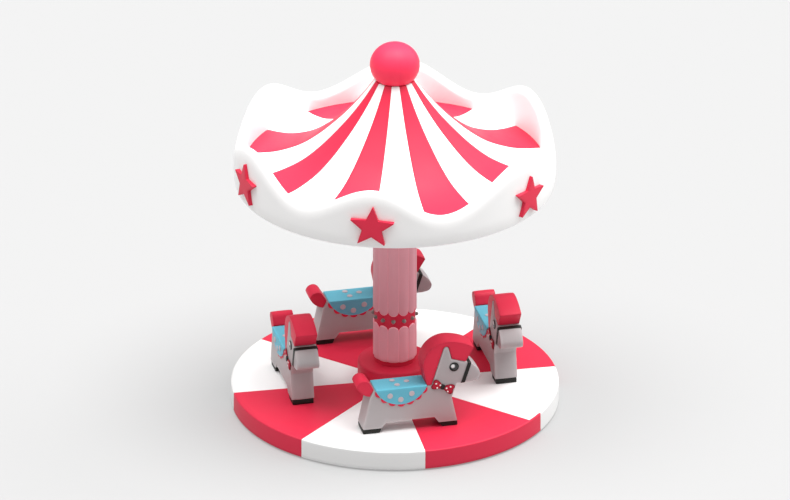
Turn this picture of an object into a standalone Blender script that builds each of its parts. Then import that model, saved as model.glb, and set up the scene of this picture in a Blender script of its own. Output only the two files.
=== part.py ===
"""Soft play carousel: a round padded deck, a fluted column, four slab horses and a wavy striped canopy.

Units are metres, +Z is up, and the origin is the middle of the deck on the floor.
A bearing is an angle in degrees seen from above, from -Y (0) towards +X (90).
The horses' own axes are s, forward from the rear heel, t, sideways, and z, up from the deck.
"""
import math

import bmesh
import bpy
from mathutils import Matrix, Vector

# Driving dimensions
DECK_RADIUS = 1.200
DECK_TOP = 0.159
DECK_UNDERSIDE = 0.010
DECK_EDGE_ROUND = 0.012
SECTOR_COUNT = 8
FIRST_SEAM_BEARING = -2.8
HUB_RADIUS = 0.272
HUB_TOP = 0.328
COLUMN_RADIUS = 0.160
COLUMN_FOOT = 0.366
FLUTE_COUNT = 12
FLUTE_BEARING = -17.4
CANOPY_BOTTOM = 1.762
CANOPY_LIP_RADIUS = 1.157
CANOPY_WALL_RADIUS = 1.1686
CREST_TURNS = (
    (-78.0, 2.224), (-49.5, 2.001), (-21.3, 2.204), (5.0, 1.990), (40.0, 2.248), (75.0, 2.016),
    (107.0, 2.232), (136.0, 2.016), (164.0, 2.224), (195.5, 2.020), (223.0, 2.227), (252.5, 2.037),
)
BALL_RADIUS = 0.1755
BALL_CENTRE = 2.683
HORSE_WIDTH = 0.172
HORSE_BACK = 0.343
SEAT_GAP = 0.0003

# The base that stays on the floor and the turntable that it carries
BASE_RADIUS = 0.800
BASE_TOP = 0.030
SLEW_INNER = 0.180
SLEW_OUTER = 0.300
SLEW_TOP = 0.055
BOARD_RADIUS = 1.120
BOARD_TOP = 0.075
SKIRT_INNER = 1.126

# The column's red band and the scalloped ends of the two pink sleeves
BAND_RADIUS = 0.150
BAND_BOTTOM = 0.600
BAND_TOP = 0.790
BEAD_HEIGHT = 0.696
BEAD_RADIUS = 0.0135
CUP_RADIUS = 0.1512
FLUTE_DEPTH = 0.007
LOWER_CUSP = 0.628
LOWER_TIP = 0.653
UPPER_CUSP = 0.761
UPPER_TIP = 0.738
COLLAR_RADIUS = 0.148

# The canopy's inner parts
CEILING = 1.775
CANOPY_BOARD_TOP = 1.800
CANOPY_BOARD_RADIUS = 1.0615
TENT_RADIUS = 1.0865
TENT_PROFILE = (
    (0.1425, 2.574), (0.234, 2.441), (0.336, 2.315), (0.450, 2.197), (0.570, 2.090),
    (0.702, 2.001), (0.860, 1.939), (0.980, 1.917), (TENT_RADIUS, 1.911),
)
CREST_RADIUS = 1.135
OUTER_ROUND = 0.110
INNER_ROUND = 0.050
WALL_WIDEST_HEIGHT = 1.870
WALL_LEVELS = (CEILING, 1.805, 1.840, WALL_WIDEST_HEIGHT)

# Stars on the canopy's wall: bearing, height and clockwise tilt of each
STAR_RADIUS = 0.171
STAR_THICKNESS = 0.028
STAR_SEAT = 0.0004
STARS = (
    (-79.5, 1.957, 1.0), (-21.4, 1.937, 2.5), (41.9, 1.945, 6.0),
    (107.0, 1.942, 3.0), (164.0, 1.942, 3.0), (223.0, 1.942, 3.0),
)

# Where the horses stand: name, x, y and heading in degrees from +X
HORSES = (
    ("front", 0.002, -0.763, 0.0),
    ("right", 0.777, 0.005, -90.0),
    ("back", 0.008, 0.764, 0.0),
    ("left", -0.746, 0.011, -90.0),
)
HORSE_MIDDLE = 0.439
MANE_WIDTH = 0.166
TAIL_WIDTH = 0.162
HOOF_WIDTH = 0.158
BLANKET_THICKNESS = 0.0075
TURN_STEPS = 72

COLOURS = {
    "red_vinyl": ((0.80, 0.045, 0.095, 1.0), 0.42, 0.0),
    "white_vinyl": ((0.86, 0.85, 0.84, 1.0), 0.42, 0.0),
    "pink_vinyl": ((0.78, 0.34, 0.42, 1.0), 0.45, 0.0),
    "grey_vinyl": ((0.55, 0.53, 0.52, 1.0), 0.48, 0.0),
    "blue_vinyl": ((0.16, 0.58, 0.74, 1.0), 0.45, 0.0),
    "black_vinyl": ((0.03, 0.028, 0.026, 1.0), 0.45, 0.0),
    "birch_board": ((0.62, 0.46, 0.30, 1.0), 0.60, 0.0),
    "grey_steel": ((0.30, 0.31, 0.32, 1.0), 0.40, 0.9),
}


def clear_scene():
    for item in list(bpy.data.objects):
        bpy.data.objects.remove(item, do_unlink=True)


def material(name):
    found = bpy.data.materials.get(name)
    if found:
        return found
    colour, roughness, metallic = COLOURS[name]
    made = bpy.data.materials.new(name)
    made.use_nodes = True
    shader = made.node_tree.nodes["Principled BSDF"]
    shader.inputs["Base Color"].default_value = colour
    shader.inputs["Roughness"].default_value = roughness
    shader.inputs["Metallic"].default_value = metallic
    return made


def add_object(name, mesh_work, finish, smooth=None):
    """Turn the bmesh into a named object with one material, faces out."""
    bmesh.ops.remove_doubles(mesh_work, verts=mesh_work.verts, dist=1e-6)
    bmesh.ops.recalc_face_normals(mesh_work, faces=mesh_work.faces)
    mesh = bpy.data.meshes.new(name)
    mesh_work.to_mesh(mesh)
    mesh_work.free()
    mesh.materials.append(material(finish))
    if smooth is not None:
        mesh.shade_smooth()
        mesh.set_sharp_from_angle(angle=math.radians(smooth))
    item = bpy.data.objects.new(name, mesh)
    bpy.context.scene.collection.objects.link(item)
    return item


def on_bearing(radius, bearing, height):
    """The point at this radius, bearing and height."""
    angle = math.radians(bearing)
    return Vector((radius * math.sin(angle), -radius * math.cos(angle), height))


def arc_points(centre, radius, start, end, steps):
    """Points on a circle in a plane, from one angle to another in degrees, both ends included."""
    points = []
    for step in range(steps + 1):
        angle = math.radians(start + (end - start) * step / steps)
        points.append((centre[0] + radius * math.cos(angle), centre[1] + radius * math.sin(angle)))
    return points


def arc_through(first, middle, last, steps):
    """Points on the circular arc that runs from first through middle to last."""
    ax, ay = first
    bx, by = middle
    cx, cy = last
    twist = 2 * (ax * (by - cy) + bx * (cy - ay) + cx * (ay - by))
    a2, b2, c2 = ax * ax + ay * ay, bx * bx + by * by, cx * cx + cy * cy
    ox = (a2 * (by - cy) + b2 * (cy - ay) + c2 * (ay - by)) / twist
    oy = (a2 * (cx - bx) + b2 * (ax - cx) + c2 * (bx - ax)) / twist
    start = math.degrees(math.atan2(ay - oy, ax - ox))
    sweep = (math.degrees(math.atan2(cy - oy, cx - ox)) - start) % 360
    via = (math.degrees(math.atan2(by - oy, bx - ox)) - start) % 360
    if via > sweep:
        sweep -= 360
    return arc_points((ox, oy), math.hypot(ax - ox, ay - oy), start, start + sweep, steps)


def offset_path(points, distance):
    """The same open path moved to its left by a distance, with mitred corners."""
    moved = []
    for index, point in enumerate(points):
        here = Vector(point)
        sides = []
        if index > 0:
            sides.append((here - Vector(points[index - 1])).normalized())
        if index < len(points) - 1:
            sides.append((Vector(points[index + 1]) - here).normalized())
        normals = [Vector((-side.y, side.x)) for side in sides]
        mitre = sum(normals, Vector((0, 0))).normalized()
        moved.append(tuple(here + mitre * (distance / mitre.dot(normals[0]))))
    return moved


def ring_solid(rings, closed_section):
    """Skin rows of points round a full turn, as a ring or as a solid capped at both ends."""
    work = bmesh.new()
    rows = [[work.verts.new(point) for point in ring] for ring in rings]
    count = len(rows[0])
    pairs = list(zip(rows, rows[1:]))
    if closed_section:
        pairs.append((rows[-1], rows[0]))
    for lower, upper in pairs:
        for step in range(count):
            after = (step + 1) % count
            work.faces.new((lower[step], lower[after], upper[after], upper[step]))
    if not closed_section:
        for row in (rows[0], rows[-1]):
            work.faces.new(row)
    return work


def turned(profile, steps=TURN_STEPS, closed_section=False):
    """A profile of (radius, height) points turned round the upright axis."""
    rings = []
    for radius, height in profile:
        rings.append([on_bearing(radius, 360 * step / steps, height) for step in range(steps)])
    return ring_solid(rings, closed_section)


def slab(outline, width):
    """A closed outline of (s, z) points made into a slab of this width across t."""
    work = bmesh.new()
    near = [work.verts.new((s, -width / 2, z)) for s, z in outline]
    far = [work.verts.new((s, width / 2, z)) for s, z in outline]
    work.faces.new(near)
    work.faces.new(list(reversed(far)))
    count = len(outline)
    for step in range(count):
        after = (step + 1) % count
        work.faces.new((near[step], far[step], far[after], near[after]))
    return work


def build_base():
    base = turned([(BASE_RADIUS, 0.0), (BASE_RADIUS, BASE_TOP)])
    add_object("base_plate", base, "grey_steel")
    low = BASE_TOP + SEAT_GAP
    section = [(SLEW_INNER, low), (SLEW_OUTER, low), (SLEW_OUTER, SLEW_TOP), (SLEW_INNER, SLEW_TOP)]
    add_object("slewing_ring", turned(section, steps=48, closed_section=True), "grey_steel")
    board = turned([(BOARD_RADIUS, SLEW_TOP + SEAT_GAP), (BOARD_RADIUS, BOARD_TOP)])
    add_object("turntable_board", board, "birch_board")


def build_deck():
    """Eight wedge pads, white and red in turn, with a skirt that hides the base."""
    inner = HUB_RADIUS + 0.0015
    seat = BOARD_TOP + SEAT_GAP
    corner = (DECK_RADIUS - DECK_EDGE_ROUND, DECK_TOP - DECK_EDGE_ROUND)
    foot_chamfer = 0.010
    section = [(inner, seat), (SKIRT_INNER, seat), (SKIRT_INNER, DECK_UNDERSIDE)]
    section += [(DECK_RADIUS - foot_chamfer, DECK_UNDERSIDE), (DECK_RADIUS, DECK_UNDERSIDE + foot_chamfer)]
    section += arc_points(corner, DECK_EDGE_ROUND, 0, 90, 3)
    section += [(inner, DECK_TOP)]
    width = 360 / SECTOR_COUNT
    steps = 8
    for sector in range(SECTOR_COUNT):
        start = FIRST_SEAM_BEARING + width * (sector - 1)
        rows = []
        work = bmesh.new()
        for step in range(steps + 1):
            row = []
            for radius, height in section:
                inset = math.degrees(math.asin(SEAT_GAP / radius))
                bearing = start + inset + (width - 2 * inset) * step / steps
                row.append(work.verts.new(on_bearing(radius, bearing, height)))
            rows.append(row)
        count = len(section)
        for row, following in zip(rows, rows[1:]):
            for index in range(count):
                after = (index + 1) % count
                work.faces.new((row[index], row[after], following[after], following[index]))
        work.faces.new(rows[0])
        work.faces.new(list(reversed(rows[-1])))
        colour = "white" if sector % 2 == 0 else "red"
        add_object(f"deck_pad_{colour}_{sector // 2 + 1}", work, f"{colour}_vinyl")


def build_hub():
    edge = 0.016
    corner = (HUB_RADIUS - edge, HUB_TOP - edge)
    profile = [(HUB_RADIUS, BOARD_TOP + SEAT_GAP)] + arc_points(corner, edge, 0, 90, 3)
    add_object("hub_pad", turned(profile, steps=64), "red_vinyl")
    collar = turned([(COLLAR_RADIUS, HUB_TOP + SEAT_GAP), (COLLAR_RADIUS, COLUMN_FOOT - SEAT_GAP)], steps=48)
    add_object("column_collar", collar, "red_vinyl")


def flute_share(bearing):
    """How far a bearing lies from the middle of its flute: 0 there and 1 at the groove."""
    pitch = 360 / FLUTE_COUNT
    return abs((bearing - FLUTE_BEARING + pitch / 2) % pitch - pitch / 2) / (pitch / 2)


def sleeve(name, plain_end, cup_floor, cusp, tip):
    """A fluted sleeve whose scalloped end reaches over the red band as a thin cup."""
    bearings = [FLUTE_BEARING + 360 * step / TURN_STEPS for step in range(TURN_STEPS)]
    plain = []
    scalloped = []
    lip = []
    floor = []
    for bearing in bearings:
        share = flute_share(bearing)
        radius = COLUMN_RADIUS - FLUTE_DEPTH * share * share
        height = cusp + (tip - cusp) * math.sqrt(max(0.0, 1 - share * share))
        plain.append(on_bearing(radius, bearing, plain_end))
        scalloped.append(on_bearing(radius, bearing, height))
        lip.append(on_bearing(CUP_RADIUS, bearing, height))
        floor.append(on_bearing(CUP_RADIUS, bearing, cup_floor))
    add_object(name, ring_solid([plain, scalloped, lip, floor], False), "pink_vinyl")


def build_column():
    sleeve("lower_sleeve", COLUMN_FOOT, BAND_BOTTOM - SEAT_GAP, LOWER_CUSP, LOWER_TIP)
    sleeve("upper_sleeve", CEILING - SEAT_GAP, BAND_TOP + SEAT_GAP, UPPER_CUSP, UPPER_TIP)
    band = turned([(BAND_RADIUS, BAND_BOTTOM), (BAND_RADIUS, BAND_TOP)])
    item = add_object("column_band", band, "red_vinyl")
    beads = bmesh.new()
    for flute in range(FLUTE_COUNT):
        place = on_bearing(BAND_RADIUS + 0.3 * BEAD_RADIUS, FLUTE_BEARING + 360 * flute / FLUTE_COUNT, BEAD_HEIGHT)
        bmesh.ops.create_icosphere(beads, subdivisions=2, radius=BEAD_RADIUS, matrix=Matrix.Translation(place))
    guide = add_object("bead_guide", beads, "grey_vinyl")
    guide.hide_render = True
    guide.display_type = "WIRE"
    union = item.modifiers.new("beads", "BOOLEAN")
    union.operation = "UNION"
    union.object = guide


def crest_height(bearing):
    """The canopy's wavy crest: a smooth swing between each peak and the valley beside it."""
    turn = (bearing - CREST_TURNS[0][0]) % 360 + CREST_TURNS[0][0]
    following = CREST_TURNS[1:] + ((CREST_TURNS[0][0] + 360, CREST_TURNS[0][1]),)
    for (start, first), (end, last) in zip(CREST_TURNS, following):
        if start <= turn <= end:
            share = (turn - start) / (end - start)
            height = first + (last - first) * (0.5 - 0.5 * math.cos(math.pi * share))
    return height


def wall_radius(height):
    """The canopy's outer wall, which bulges out from its lip and then stands upright."""
    drop = max(0.0, WALL_WIDEST_HEIGHT - height)
    spread = CANOPY_WALL_RADIUS - CANOPY_LIP_RADIUS
    return CANOPY_WALL_RADIUS - spread * (drop / (WALL_WIDEST_HEIGHT - CEILING)) ** 2


def shoulder_point(crest, share):
    """A point on the tall rounding between the wall, at share 0, and the crest, at share 1."""
    angle = math.radians(90 * share)
    radius = CREST_RADIUS + (CANOPY_WALL_RADIUS - CREST_RADIUS) * math.cos(angle)
    return radius, crest - OUTER_ROUND * (1 - math.sin(angle))


def rim_section(bearing):
    """The padded rim's section at a bearing, from its inner foot round the outside to the dish."""
    crest = crest_height(bearing)
    foot_round = 0.014
    inner = TENT_RADIUS + SEAT_GAP
    section = [(CANOPY_BOARD_RADIUS + 0.001, CANOPY_BOTTOM), (CANOPY_LIP_RADIUS - foot_round, CANOPY_BOTTOM)]
    section += [(wall_radius(height), height) for height in WALL_LEVELS]
    section += [shoulder_point(crest, share) for share in (0.0, 0.35, 0.70, 1.0)]
    for share in (0.35, 0.70, 1.00):
        angle = math.radians(90 * share)
        radius = CREST_RADIUS - (CREST_RADIUS - inner) * math.sin(angle)
        section.append((radius, crest - INNER_ROUND * (1 - math.cos(angle))))
    section += [(inner, CANOPY_BOARD_TOP - SEAT_GAP), (CANOPY_BOARD_RADIUS + 0.001, CANOPY_BOARD_TOP - SEAT_GAP)]
    return section


def build_canopy():
    board = turned([(CANOPY_BOARD_RADIUS, CEILING), (CANOPY_BOARD_RADIUS, CANOPY_BOARD_TOP - SEAT_GAP)])
    add_object("canopy_board", board, "white_vinyl")
    bearings = [360 * step / TURN_STEPS for step in range(TURN_STEPS)]
    sections = [rim_section(bearing) for bearing in bearings]
    rings = []
    for index in range(len(sections[0])):
        ring = []
        for bearing, section in zip(bearings, sections):
            radius, height = section[index]
            ring.append(on_bearing(radius, bearing, height))
        rings.append(ring)
    add_object("canopy_rim", ring_solid(rings, True), "white_vinyl", smooth=50)
    profile = [(TENT_RADIUS, CANOPY_BOARD_TOP)] + list(reversed(TENT_PROFILE))
    add_object("canopy_tent", turned(profile), "white_vinyl", smooth=50)
    seat = TENT_PROFILE[0][1] + SEAT_GAP
    start = math.degrees(math.asin((seat - BALL_CENTRE) / BALL_RADIUS))
    profile = arc_points((0, BALL_CENTRE), BALL_RADIUS, start, 84, 14)
    add_object("canopy_ball", turned(profile, steps=36), "red_vinyl", smooth=50)


def build_wall_guide():
    """A ring just outside the rim's wall, with the same faces, that shapes the backs of the stars."""
    rings = []
    bearings = [360 * step / TURN_STEPS for step in range(TURN_STEPS)]
    core = 0.9
    rings.append([on_bearing(core, bearing, CEILING) for bearing in bearings])
    for height in WALL_LEVELS:
        rings.append([on_bearing(wall_radius(height) + STAR_SEAT, bearing, height) for bearing in bearings])
    for share in (0.0, 0.35):
        shoulders = [shoulder_point(crest_height(bearing), share) for bearing in bearings]
        rings.append([on_bearing(radius + STAR_SEAT, bearing, height)
                      for bearing, (radius, height) in zip(bearings, shoulders)])
    rings.append([on_bearing(core, bearing, height) for bearing, (_, height) in zip(bearings, shoulders)])
    guide = add_object("wall_guide", ring_solid(rings, True), "red_vinyl")
    guide.hide_render = True
    guide.display_type = "WIRE"
    return guide


def build_star(number, bearing, height, tilt, guide):
    """A thick five-pointed pad whose back follows the canopy's wall."""
    work = bmesh.new()
    lean = math.radians(-tilt)
    away = math.radians(bearing)
    inner_share = 0.44
    faces = []
    for distance in (CANOPY_WALL_RADIUS - 0.055, CANOPY_WALL_RADIUS + STAR_THICKNESS):
        row = []
        for corner in range(10):
            reach = STAR_RADIUS * (1.0 if corner % 2 == 0 else inner_share)
            angle = math.radians(90 - 36 * corner) + lean
            side = reach * math.cos(angle)
            x = distance * math.sin(away) + side * math.cos(away)
            y = -distance * math.cos(away) + side * math.sin(away)
            row.append(work.verts.new((x, y, height + reach * math.sin(angle))))
        faces.append(row)
    back, front = faces
    for corner in range(10):
        after = (corner + 1) % 10
        work.faces.new((back[corner], back[after], front[after], front[corner]))
    work.faces.new(back)
    work.faces.new(list(reversed(front)))
    star = add_object(f"star_{number}", work, "red_vinyl")
    cut = star.modifiers.new("wall", "BOOLEAN")
    cut.operation = "DIFFERENCE"
    cut.object = guide


# The horse's outline: heel, rump, neck, ear, forehead, nose, chest and legs
HOOF_TOP = 0.037
REAR_HEEL = (-0.003, HOOF_TOP)
RUMP = (0.0500, 0.290)
RUMP_TOP = (0.0767, HORSE_BACK)
NECK_FOOT = (0.5105, HORSE_BACK)
EAR_CENTRE = (0.6180, 0.617)
EAR_ROUND = 0.0205
FOREHEAD_TOP = (0.6590, 0.537)
FOREHEAD_END = (0.7620, 0.5035)
NOSE_TOP = (0.8030, 0.489)
NOSE_SLOPE = (0.8475, 0.4485)
NOSE_TIP = (0.8712, 0.413)
LIP = (0.8695, 0.376)
CHIN = (0.8360, 0.349)
JAW = (0.8030, 0.343)
THROAT = (0.6960, 0.341)
CHEST = (0.6620, 0.232)
FRONT_KNEE = (0.7030, HOOF_TOP)
FRONT_LEG_BACK = (0.5630, HOOF_TOP)
BELLY_FRONT = (0.5310, 0.0825)
BELLY_REAR = (0.1760, 0.0825)
REAR_LEG_FRONT = (0.1400, HOOF_TOP)


def head_top():
    """From the foot of the neck up the back of the ear, over its tip and along the forehead."""
    path = [NECK_FOOT]
    path += arc_points(EAR_CENTRE, EAR_ROUND, 162, 14, 5)
    path += [FOREHEAD_TOP, FOREHEAD_END]
    return path


def body_outline():
    muzzle = arc_through(NOSE_TOP, NOSE_SLOPE, NOSE_TIP, 4) + arc_through(NOSE_TIP, LIP, CHIN, 6)[1:]
    legs = [JAW, THROAT, CHEST, FRONT_KNEE, FRONT_LEG_BACK, BELLY_FRONT, BELLY_REAR, REAR_LEG_FRONT]
    return [REAR_HEEL, RUMP, RUMP_TOP] + head_top() + muzzle + legs


def mane_outline():
    """A round crest from the horse's back over the ear to a blunt tip above the nose."""
    centre = (0.632, 0.492)
    radius = 0.185
    tip = (0.828, 0.6125)
    foot = (0.474, HORSE_BACK + SEAT_GAP)
    crest = arc_points(centre, radius, 184, 84, 11)
    crest += arc_through(crest[-1], (0.7543, 0.6515), tip, 4)[1:-1]
    under = list(reversed(offset_path(head_top(), SEAT_GAP)))
    under[0] = (FOREHEAD_END[0] + 0.001, FOREHEAD_END[1] + SEAT_GAP)
    under[-1] = (under[-1][0], foot[1])
    return [foot] + crest + [tip] + under


def tail_outline():
    """A round bob seated on the rump's sloping corner."""
    slope = Vector(RUMP_TOP) - Vector(RUMP)
    away = Vector((-slope.y, slope.x)).normalized() * SEAT_GAP
    seat_low = tuple(Vector(RUMP) + slope * 0.13 + away)
    seat_high = tuple(Vector(RUMP_TOP) + away)
    over = (RUMP_TOP[0] + 0.0045, HORSE_BACK + SEAT_GAP * 1.2)
    beak = (RUMP_TOP[0] + 0.0055, HORSE_BACK + 0.009)
    rear = (-0.0475, 0.378)
    shoulder = (0.050, 0.405)
    under = arc_through(seat_low, (-0.010, 0.326), rear, 6)
    crown = arc_through(rear, (-0.002, 0.4255), shoulder, 7)
    return under + crown[1:] + [beak, over, seat_high]


def blanket_outline():
    """The saddle blanket's side: a flat top and a flap cut as part of a circle."""
    centre = (0.2825, 0.4264)
    radius = 0.2065
    top = HORSE_BACK + SEAT_GAP + BLANKET_THICKNESS
    rear = RUMP_TOP[0] + 0.0155
    front = 0.4720
    end = math.degrees(math.acos((front - centre[0]) / radius))
    start = math.degrees(math.acos((rear - centre[0]) / radius))
    return [(rear, top)] + arc_points(centre, radius, -start, -end, 16) + [(front, top)]


def place_horse(item, x, y, heading):
    item.matrix_world = (
        Matrix.Translation((x, y, DECK_TOP + SEAT_GAP))
        @ Matrix.Rotation(math.radians(heading), 4, "Z")
        @ Matrix.Translation((-HORSE_MIDDLE, 0, 0))
    )


def build_horse(name, x, y, heading):
    parts = [
        add_object(f"horse_{name}_body", slab(body_outline(), HORSE_WIDTH), "grey_vinyl"),
        add_object(f"horse_{name}_mane", slab(mane_outline(), MANE_WIDTH), "red_vinyl"),
        add_object(f"horse_{name}_tail", slab(tail_outline(), TAIL_WIDTH), "red_vinyl"),
    ]
    hoof_top = HOOF_TOP - SEAT_GAP
    rear_hoof = [(0.001, 0.0), REAR_HEEL[:1] + (hoof_top,), REAR_LEG_FRONT[:1] + (hoof_top,), (0.1245, 0.0)]
    front_hoof = [(0.591, 0.0), FRONT_LEG_BACK[:1] + (hoof_top,), FRONT_KNEE[:1] + (hoof_top,), (0.7060, 0.0)]
    parts.append(add_object(f"horse_{name}_rear_hoof", slab(rear_hoof, HOOF_WIDTH), "black_vinyl"))
    parts.append(add_object(f"horse_{name}_front_hoof", slab(front_hoof, HOOF_WIDTH), "black_vinyl"))
    blanket_width = HORSE_WIDTH + 2 * (SEAT_GAP + BLANKET_THICKNESS)
    blanket = add_object(f"horse_{name}_blanket", slab(blanket_outline(), blanket_width), "blue_vinyl")
    inside = slab([(-0.1, -0.1), (-0.1, HORSE_BACK + SEAT_GAP), (0.7, HORSE_BACK + SEAT_GAP), (0.7, -0.1)],
                  HORSE_WIDTH + 2 * SEAT_GAP)
    guide = add_object(f"blanket_guide_{name}", inside, "blue_vinyl")
    guide.hide_render = True
    guide.display_type = "WIRE"
    cut = blanket.modifiers.new("back", "BOOLEAN")
    cut.operation = "DIFFERENCE"
    cut.object = guide
    for item in parts + [blanket, guide]:
        place_horse(item, x, y, heading)


def main():
    clear_scene()
    build_base()
    build_deck()
    build_hub()
    build_column()
    build_canopy()
    guide = build_wall_guide()
    for number, (bearing, height, tilt) in enumerate(STARS, start=1):
        build_star(number, bearing, height, tilt, guide)
    for name, x, y, heading in HORSES:
        build_horse(name, x, y, heading)
    bpy.context.view_layer.update()


main()
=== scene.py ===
"""The looks of the soft play carousel: sewn vinyl pads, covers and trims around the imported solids.

Units are metres and +Z is up. A bearing is an angle in degrees seen from above, from -Y (0) towards +X (90).
A horse's own axes are s, forward from the rear heel, t, sideways, and z, up from the deck.
"""

import cmath
import math

import bmesh
import bpy
import numpy as np
from mathutils import Matrix, Vector
from mathutils.geometry import delaunay_2d_cdt


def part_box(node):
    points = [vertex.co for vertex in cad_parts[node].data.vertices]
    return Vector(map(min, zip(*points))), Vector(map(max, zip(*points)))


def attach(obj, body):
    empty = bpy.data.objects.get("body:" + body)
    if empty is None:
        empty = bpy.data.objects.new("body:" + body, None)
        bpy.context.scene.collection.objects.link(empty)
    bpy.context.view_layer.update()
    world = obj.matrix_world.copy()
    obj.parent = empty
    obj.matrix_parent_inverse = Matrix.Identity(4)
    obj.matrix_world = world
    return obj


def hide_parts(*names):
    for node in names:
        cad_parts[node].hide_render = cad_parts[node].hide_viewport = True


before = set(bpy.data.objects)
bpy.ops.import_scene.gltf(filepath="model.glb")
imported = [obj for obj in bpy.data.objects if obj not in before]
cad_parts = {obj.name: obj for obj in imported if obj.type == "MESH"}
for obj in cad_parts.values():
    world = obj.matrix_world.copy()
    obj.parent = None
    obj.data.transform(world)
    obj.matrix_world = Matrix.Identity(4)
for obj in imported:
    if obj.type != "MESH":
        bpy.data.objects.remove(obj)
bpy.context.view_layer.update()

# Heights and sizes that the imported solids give
DECK_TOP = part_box("deck_pad_red_1")[1].z
HUB_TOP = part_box("hub_pad")[1].z
BOARD_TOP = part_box("turntable_board")[1].z
COLUMN_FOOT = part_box("lower_sleeve")[0].z
BAND_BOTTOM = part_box("column_band")[0].z
BAND_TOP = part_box("column_band")[1].z
CANOPY_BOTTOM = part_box("canopy_rim")[0].z
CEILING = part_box("canopy_board")[0].z
CANOPY_BOARD_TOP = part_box("canopy_tent")[0].z
CANOPY_BOARD_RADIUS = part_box("canopy_board")[1].x
TENT_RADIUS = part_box("canopy_tent")[1].x

# The camera, which stands far off with a long lens
CAMERA_AZIMUTH = -13.4
CAMERA_ELEVATION = 25.42
CAMERA_DISTANCE = 79.5
CAMERA_LENS = 497.7
CAMERA_AIM = Vector((0.0012, 0.0, 1.204))

# Light: name, bearing, elevation, strength and spread of each soft lamp
LAMPS = (
    ("soft_sun", 66, 75, 3.2, 40),
    ("soft_fill", -100, 68, 1.8, 40),
    ("soft_side", 100, 32, 1.4, 50),
)
SKY_OVERHEAD = 1.10
FLOOR_REACH = 90.0
FLOOR_GREY = 0.235
FLOOR_GLOW = 0.28

# Sewing: the gap between seated pads, welts, the width of the toned line by a seam (paler as rubbed wear and
# painted highlight, darker along red seams), a pad's shape and the vinyl's grain
SEAT_GAP = 0.0003
WELT = 0.0012
WEAR_AND_HIGHLIGHT_WIDTH = 0.006
PAD_EDGE = 0.004
PAD_CROWN = 0.003
PAD_SPACING = 0.014
GRAIN_DEPTH = 0.00012

# Cloth simulation: what a panel's shape holds of its crown before the stuffing adds the rest
START_CROWN = 0.4
CLOTH_FRAMES = 16
STUFFING_PRESSURE = 4.0

# Deck
DECK_RADIUS = 1.200
DECK_UNDERSIDE = 0.010
DECK_EDGE_ROUND = 0.012
SECTOR_COUNT = 8
FIRST_SEAM_BEARING = -2.8
DECK_SEAM_DEPTH = 0.0030
SKIRT_SEAM_DEPTH = 0.0020
SEAM_STEPS = (0.0, 0.0015, 0.003, 0.005, 0.008, 0.012, 0.018, 0.028)
SKIRT_INNER = 1.126
SKIRT_FOOT_ROUND = 0.010
SKIRT_SWELL = 0.0012
LONG_SKIRT_END = 49.0
HUB_RADIUS = 0.272
HUB_EDGE_ROUND = 0.016
HUB_SWELL = 0.002

# Column
COLUMN_RADIUS = 0.160
FLUTE_COUNT = 12
FLUTE_BEARING = -17.4
FLUTE_DEPTH = 0.007
FLUTE_SHARES = (-1.0, -0.97, -0.92, -0.84, -0.7, -0.5, -0.25, 0.0, 0.25, 0.5, 0.7, 0.84, 0.92, 0.97)
GROOVE_DEPTH = 0.0016
SLEEVE_HEM = 0.003
SLEEVE_LIP = 0.006
BAND_RADIUS = 0.150
BEAD_HEIGHT = 0.696
BEAD_RADIUS = 0.0135
BEAD_COLLAR = 0.003
CUP_RADIUS = 0.1512
LOWER_CUSP = 0.613
LOWER_TIP = 0.653
UPPER_CUSP = 0.776
UPPER_TIP = 0.738

# Canopy
LIP_RADIUS = 1.157
LIP_ROUND = 0.014
WALL_RADIUS = 1.1686
WALL_WIDEST_HEIGHT = 1.870
CREST_TURNS = (
    (-78.0, 2.224), (-49.5, 2.001), (-21.3, 2.204), (5.0, 1.990), (40.0, 2.248), (75.0, 2.016),
    (107.0, 2.232), (136.0, 2.016), (164.0, 2.224), (195.5, 2.020), (223.0, 2.227), (252.5, 2.037),
)
CREST_RADIUS = 1.135
OUTER_ROUND = 0.110
INNER_ROUND = 0.050
CEILING_FOLD = 22.5
CEILING_SAG = 0.004
TENT_PROFILE = (
    (0.1425, 2.574), (0.234, 2.441), (0.336, 2.315), (0.450, 2.197), (0.570, 2.090),
    (0.702, 2.001), (0.860, 1.939), (0.980, 1.917), (TENT_RADIUS, 1.911),
)
UNDER_BALL = (0.100, TENT_PROFILE[0][1])
TENT_THICKNESS = 0.012
TENT_SEAM_DEPTH = 0.0022
STRIPE_COUNT = 8
GORE_SHARES = (0.0, 0.02, 0.05, 0.1, 0.2, 0.35, 0.5, 0.65, 0.8, 0.9, 0.95, 0.98, 1.0)
BALL_RADIUS = 0.1810
BALL_HALF_HEIGHT = 0.1660
BALL_CENTRE = 2.687
BALL_GORE = 60.0
BALL_SEAM_DEPTH = 0.0007

# Stars: bearing, height and tilt
STARS = (
    (-79.5, 1.957, 1.0), (-21.4, 1.937, 2.5), (41.9, 1.945, 6.0),
    (107.0, 1.942, 3.0), (164.0, 1.942, 3.0), (223.0, 1.942, 3.0),
)
STAR_RADIUS = 0.171
STAR_WAIST = 0.44
STAR_TALLNESS = 0.965
STAR_THICKNESS = 0.028
STAR_EDGE = 0.003
STAR_CROWN = 0.0035
STAR_SPACING = 0.011

# Horses: name, x, y and heading in degrees from +X
HORSES = (
    ("front", 0.002, -0.763, 0.0),
    ("right", 0.777, 0.005, -90.0),
    ("back", 0.008, 0.764, 0.0),
    ("left", -0.746, 0.011, -90.0),
)
HORSE_MIDDLE = 0.439
HORSE_WIDTH = 0.172
HORSE_SIDE = HORSE_WIDTH / 2 + SEAT_GAP
HORSE_BACK = 0.343
MANE_WIDTH = 0.166
TAIL_WIDTH = 0.162
HOOF_WIDTH = 0.158
HOOF_CROWN = 0.0015

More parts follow.
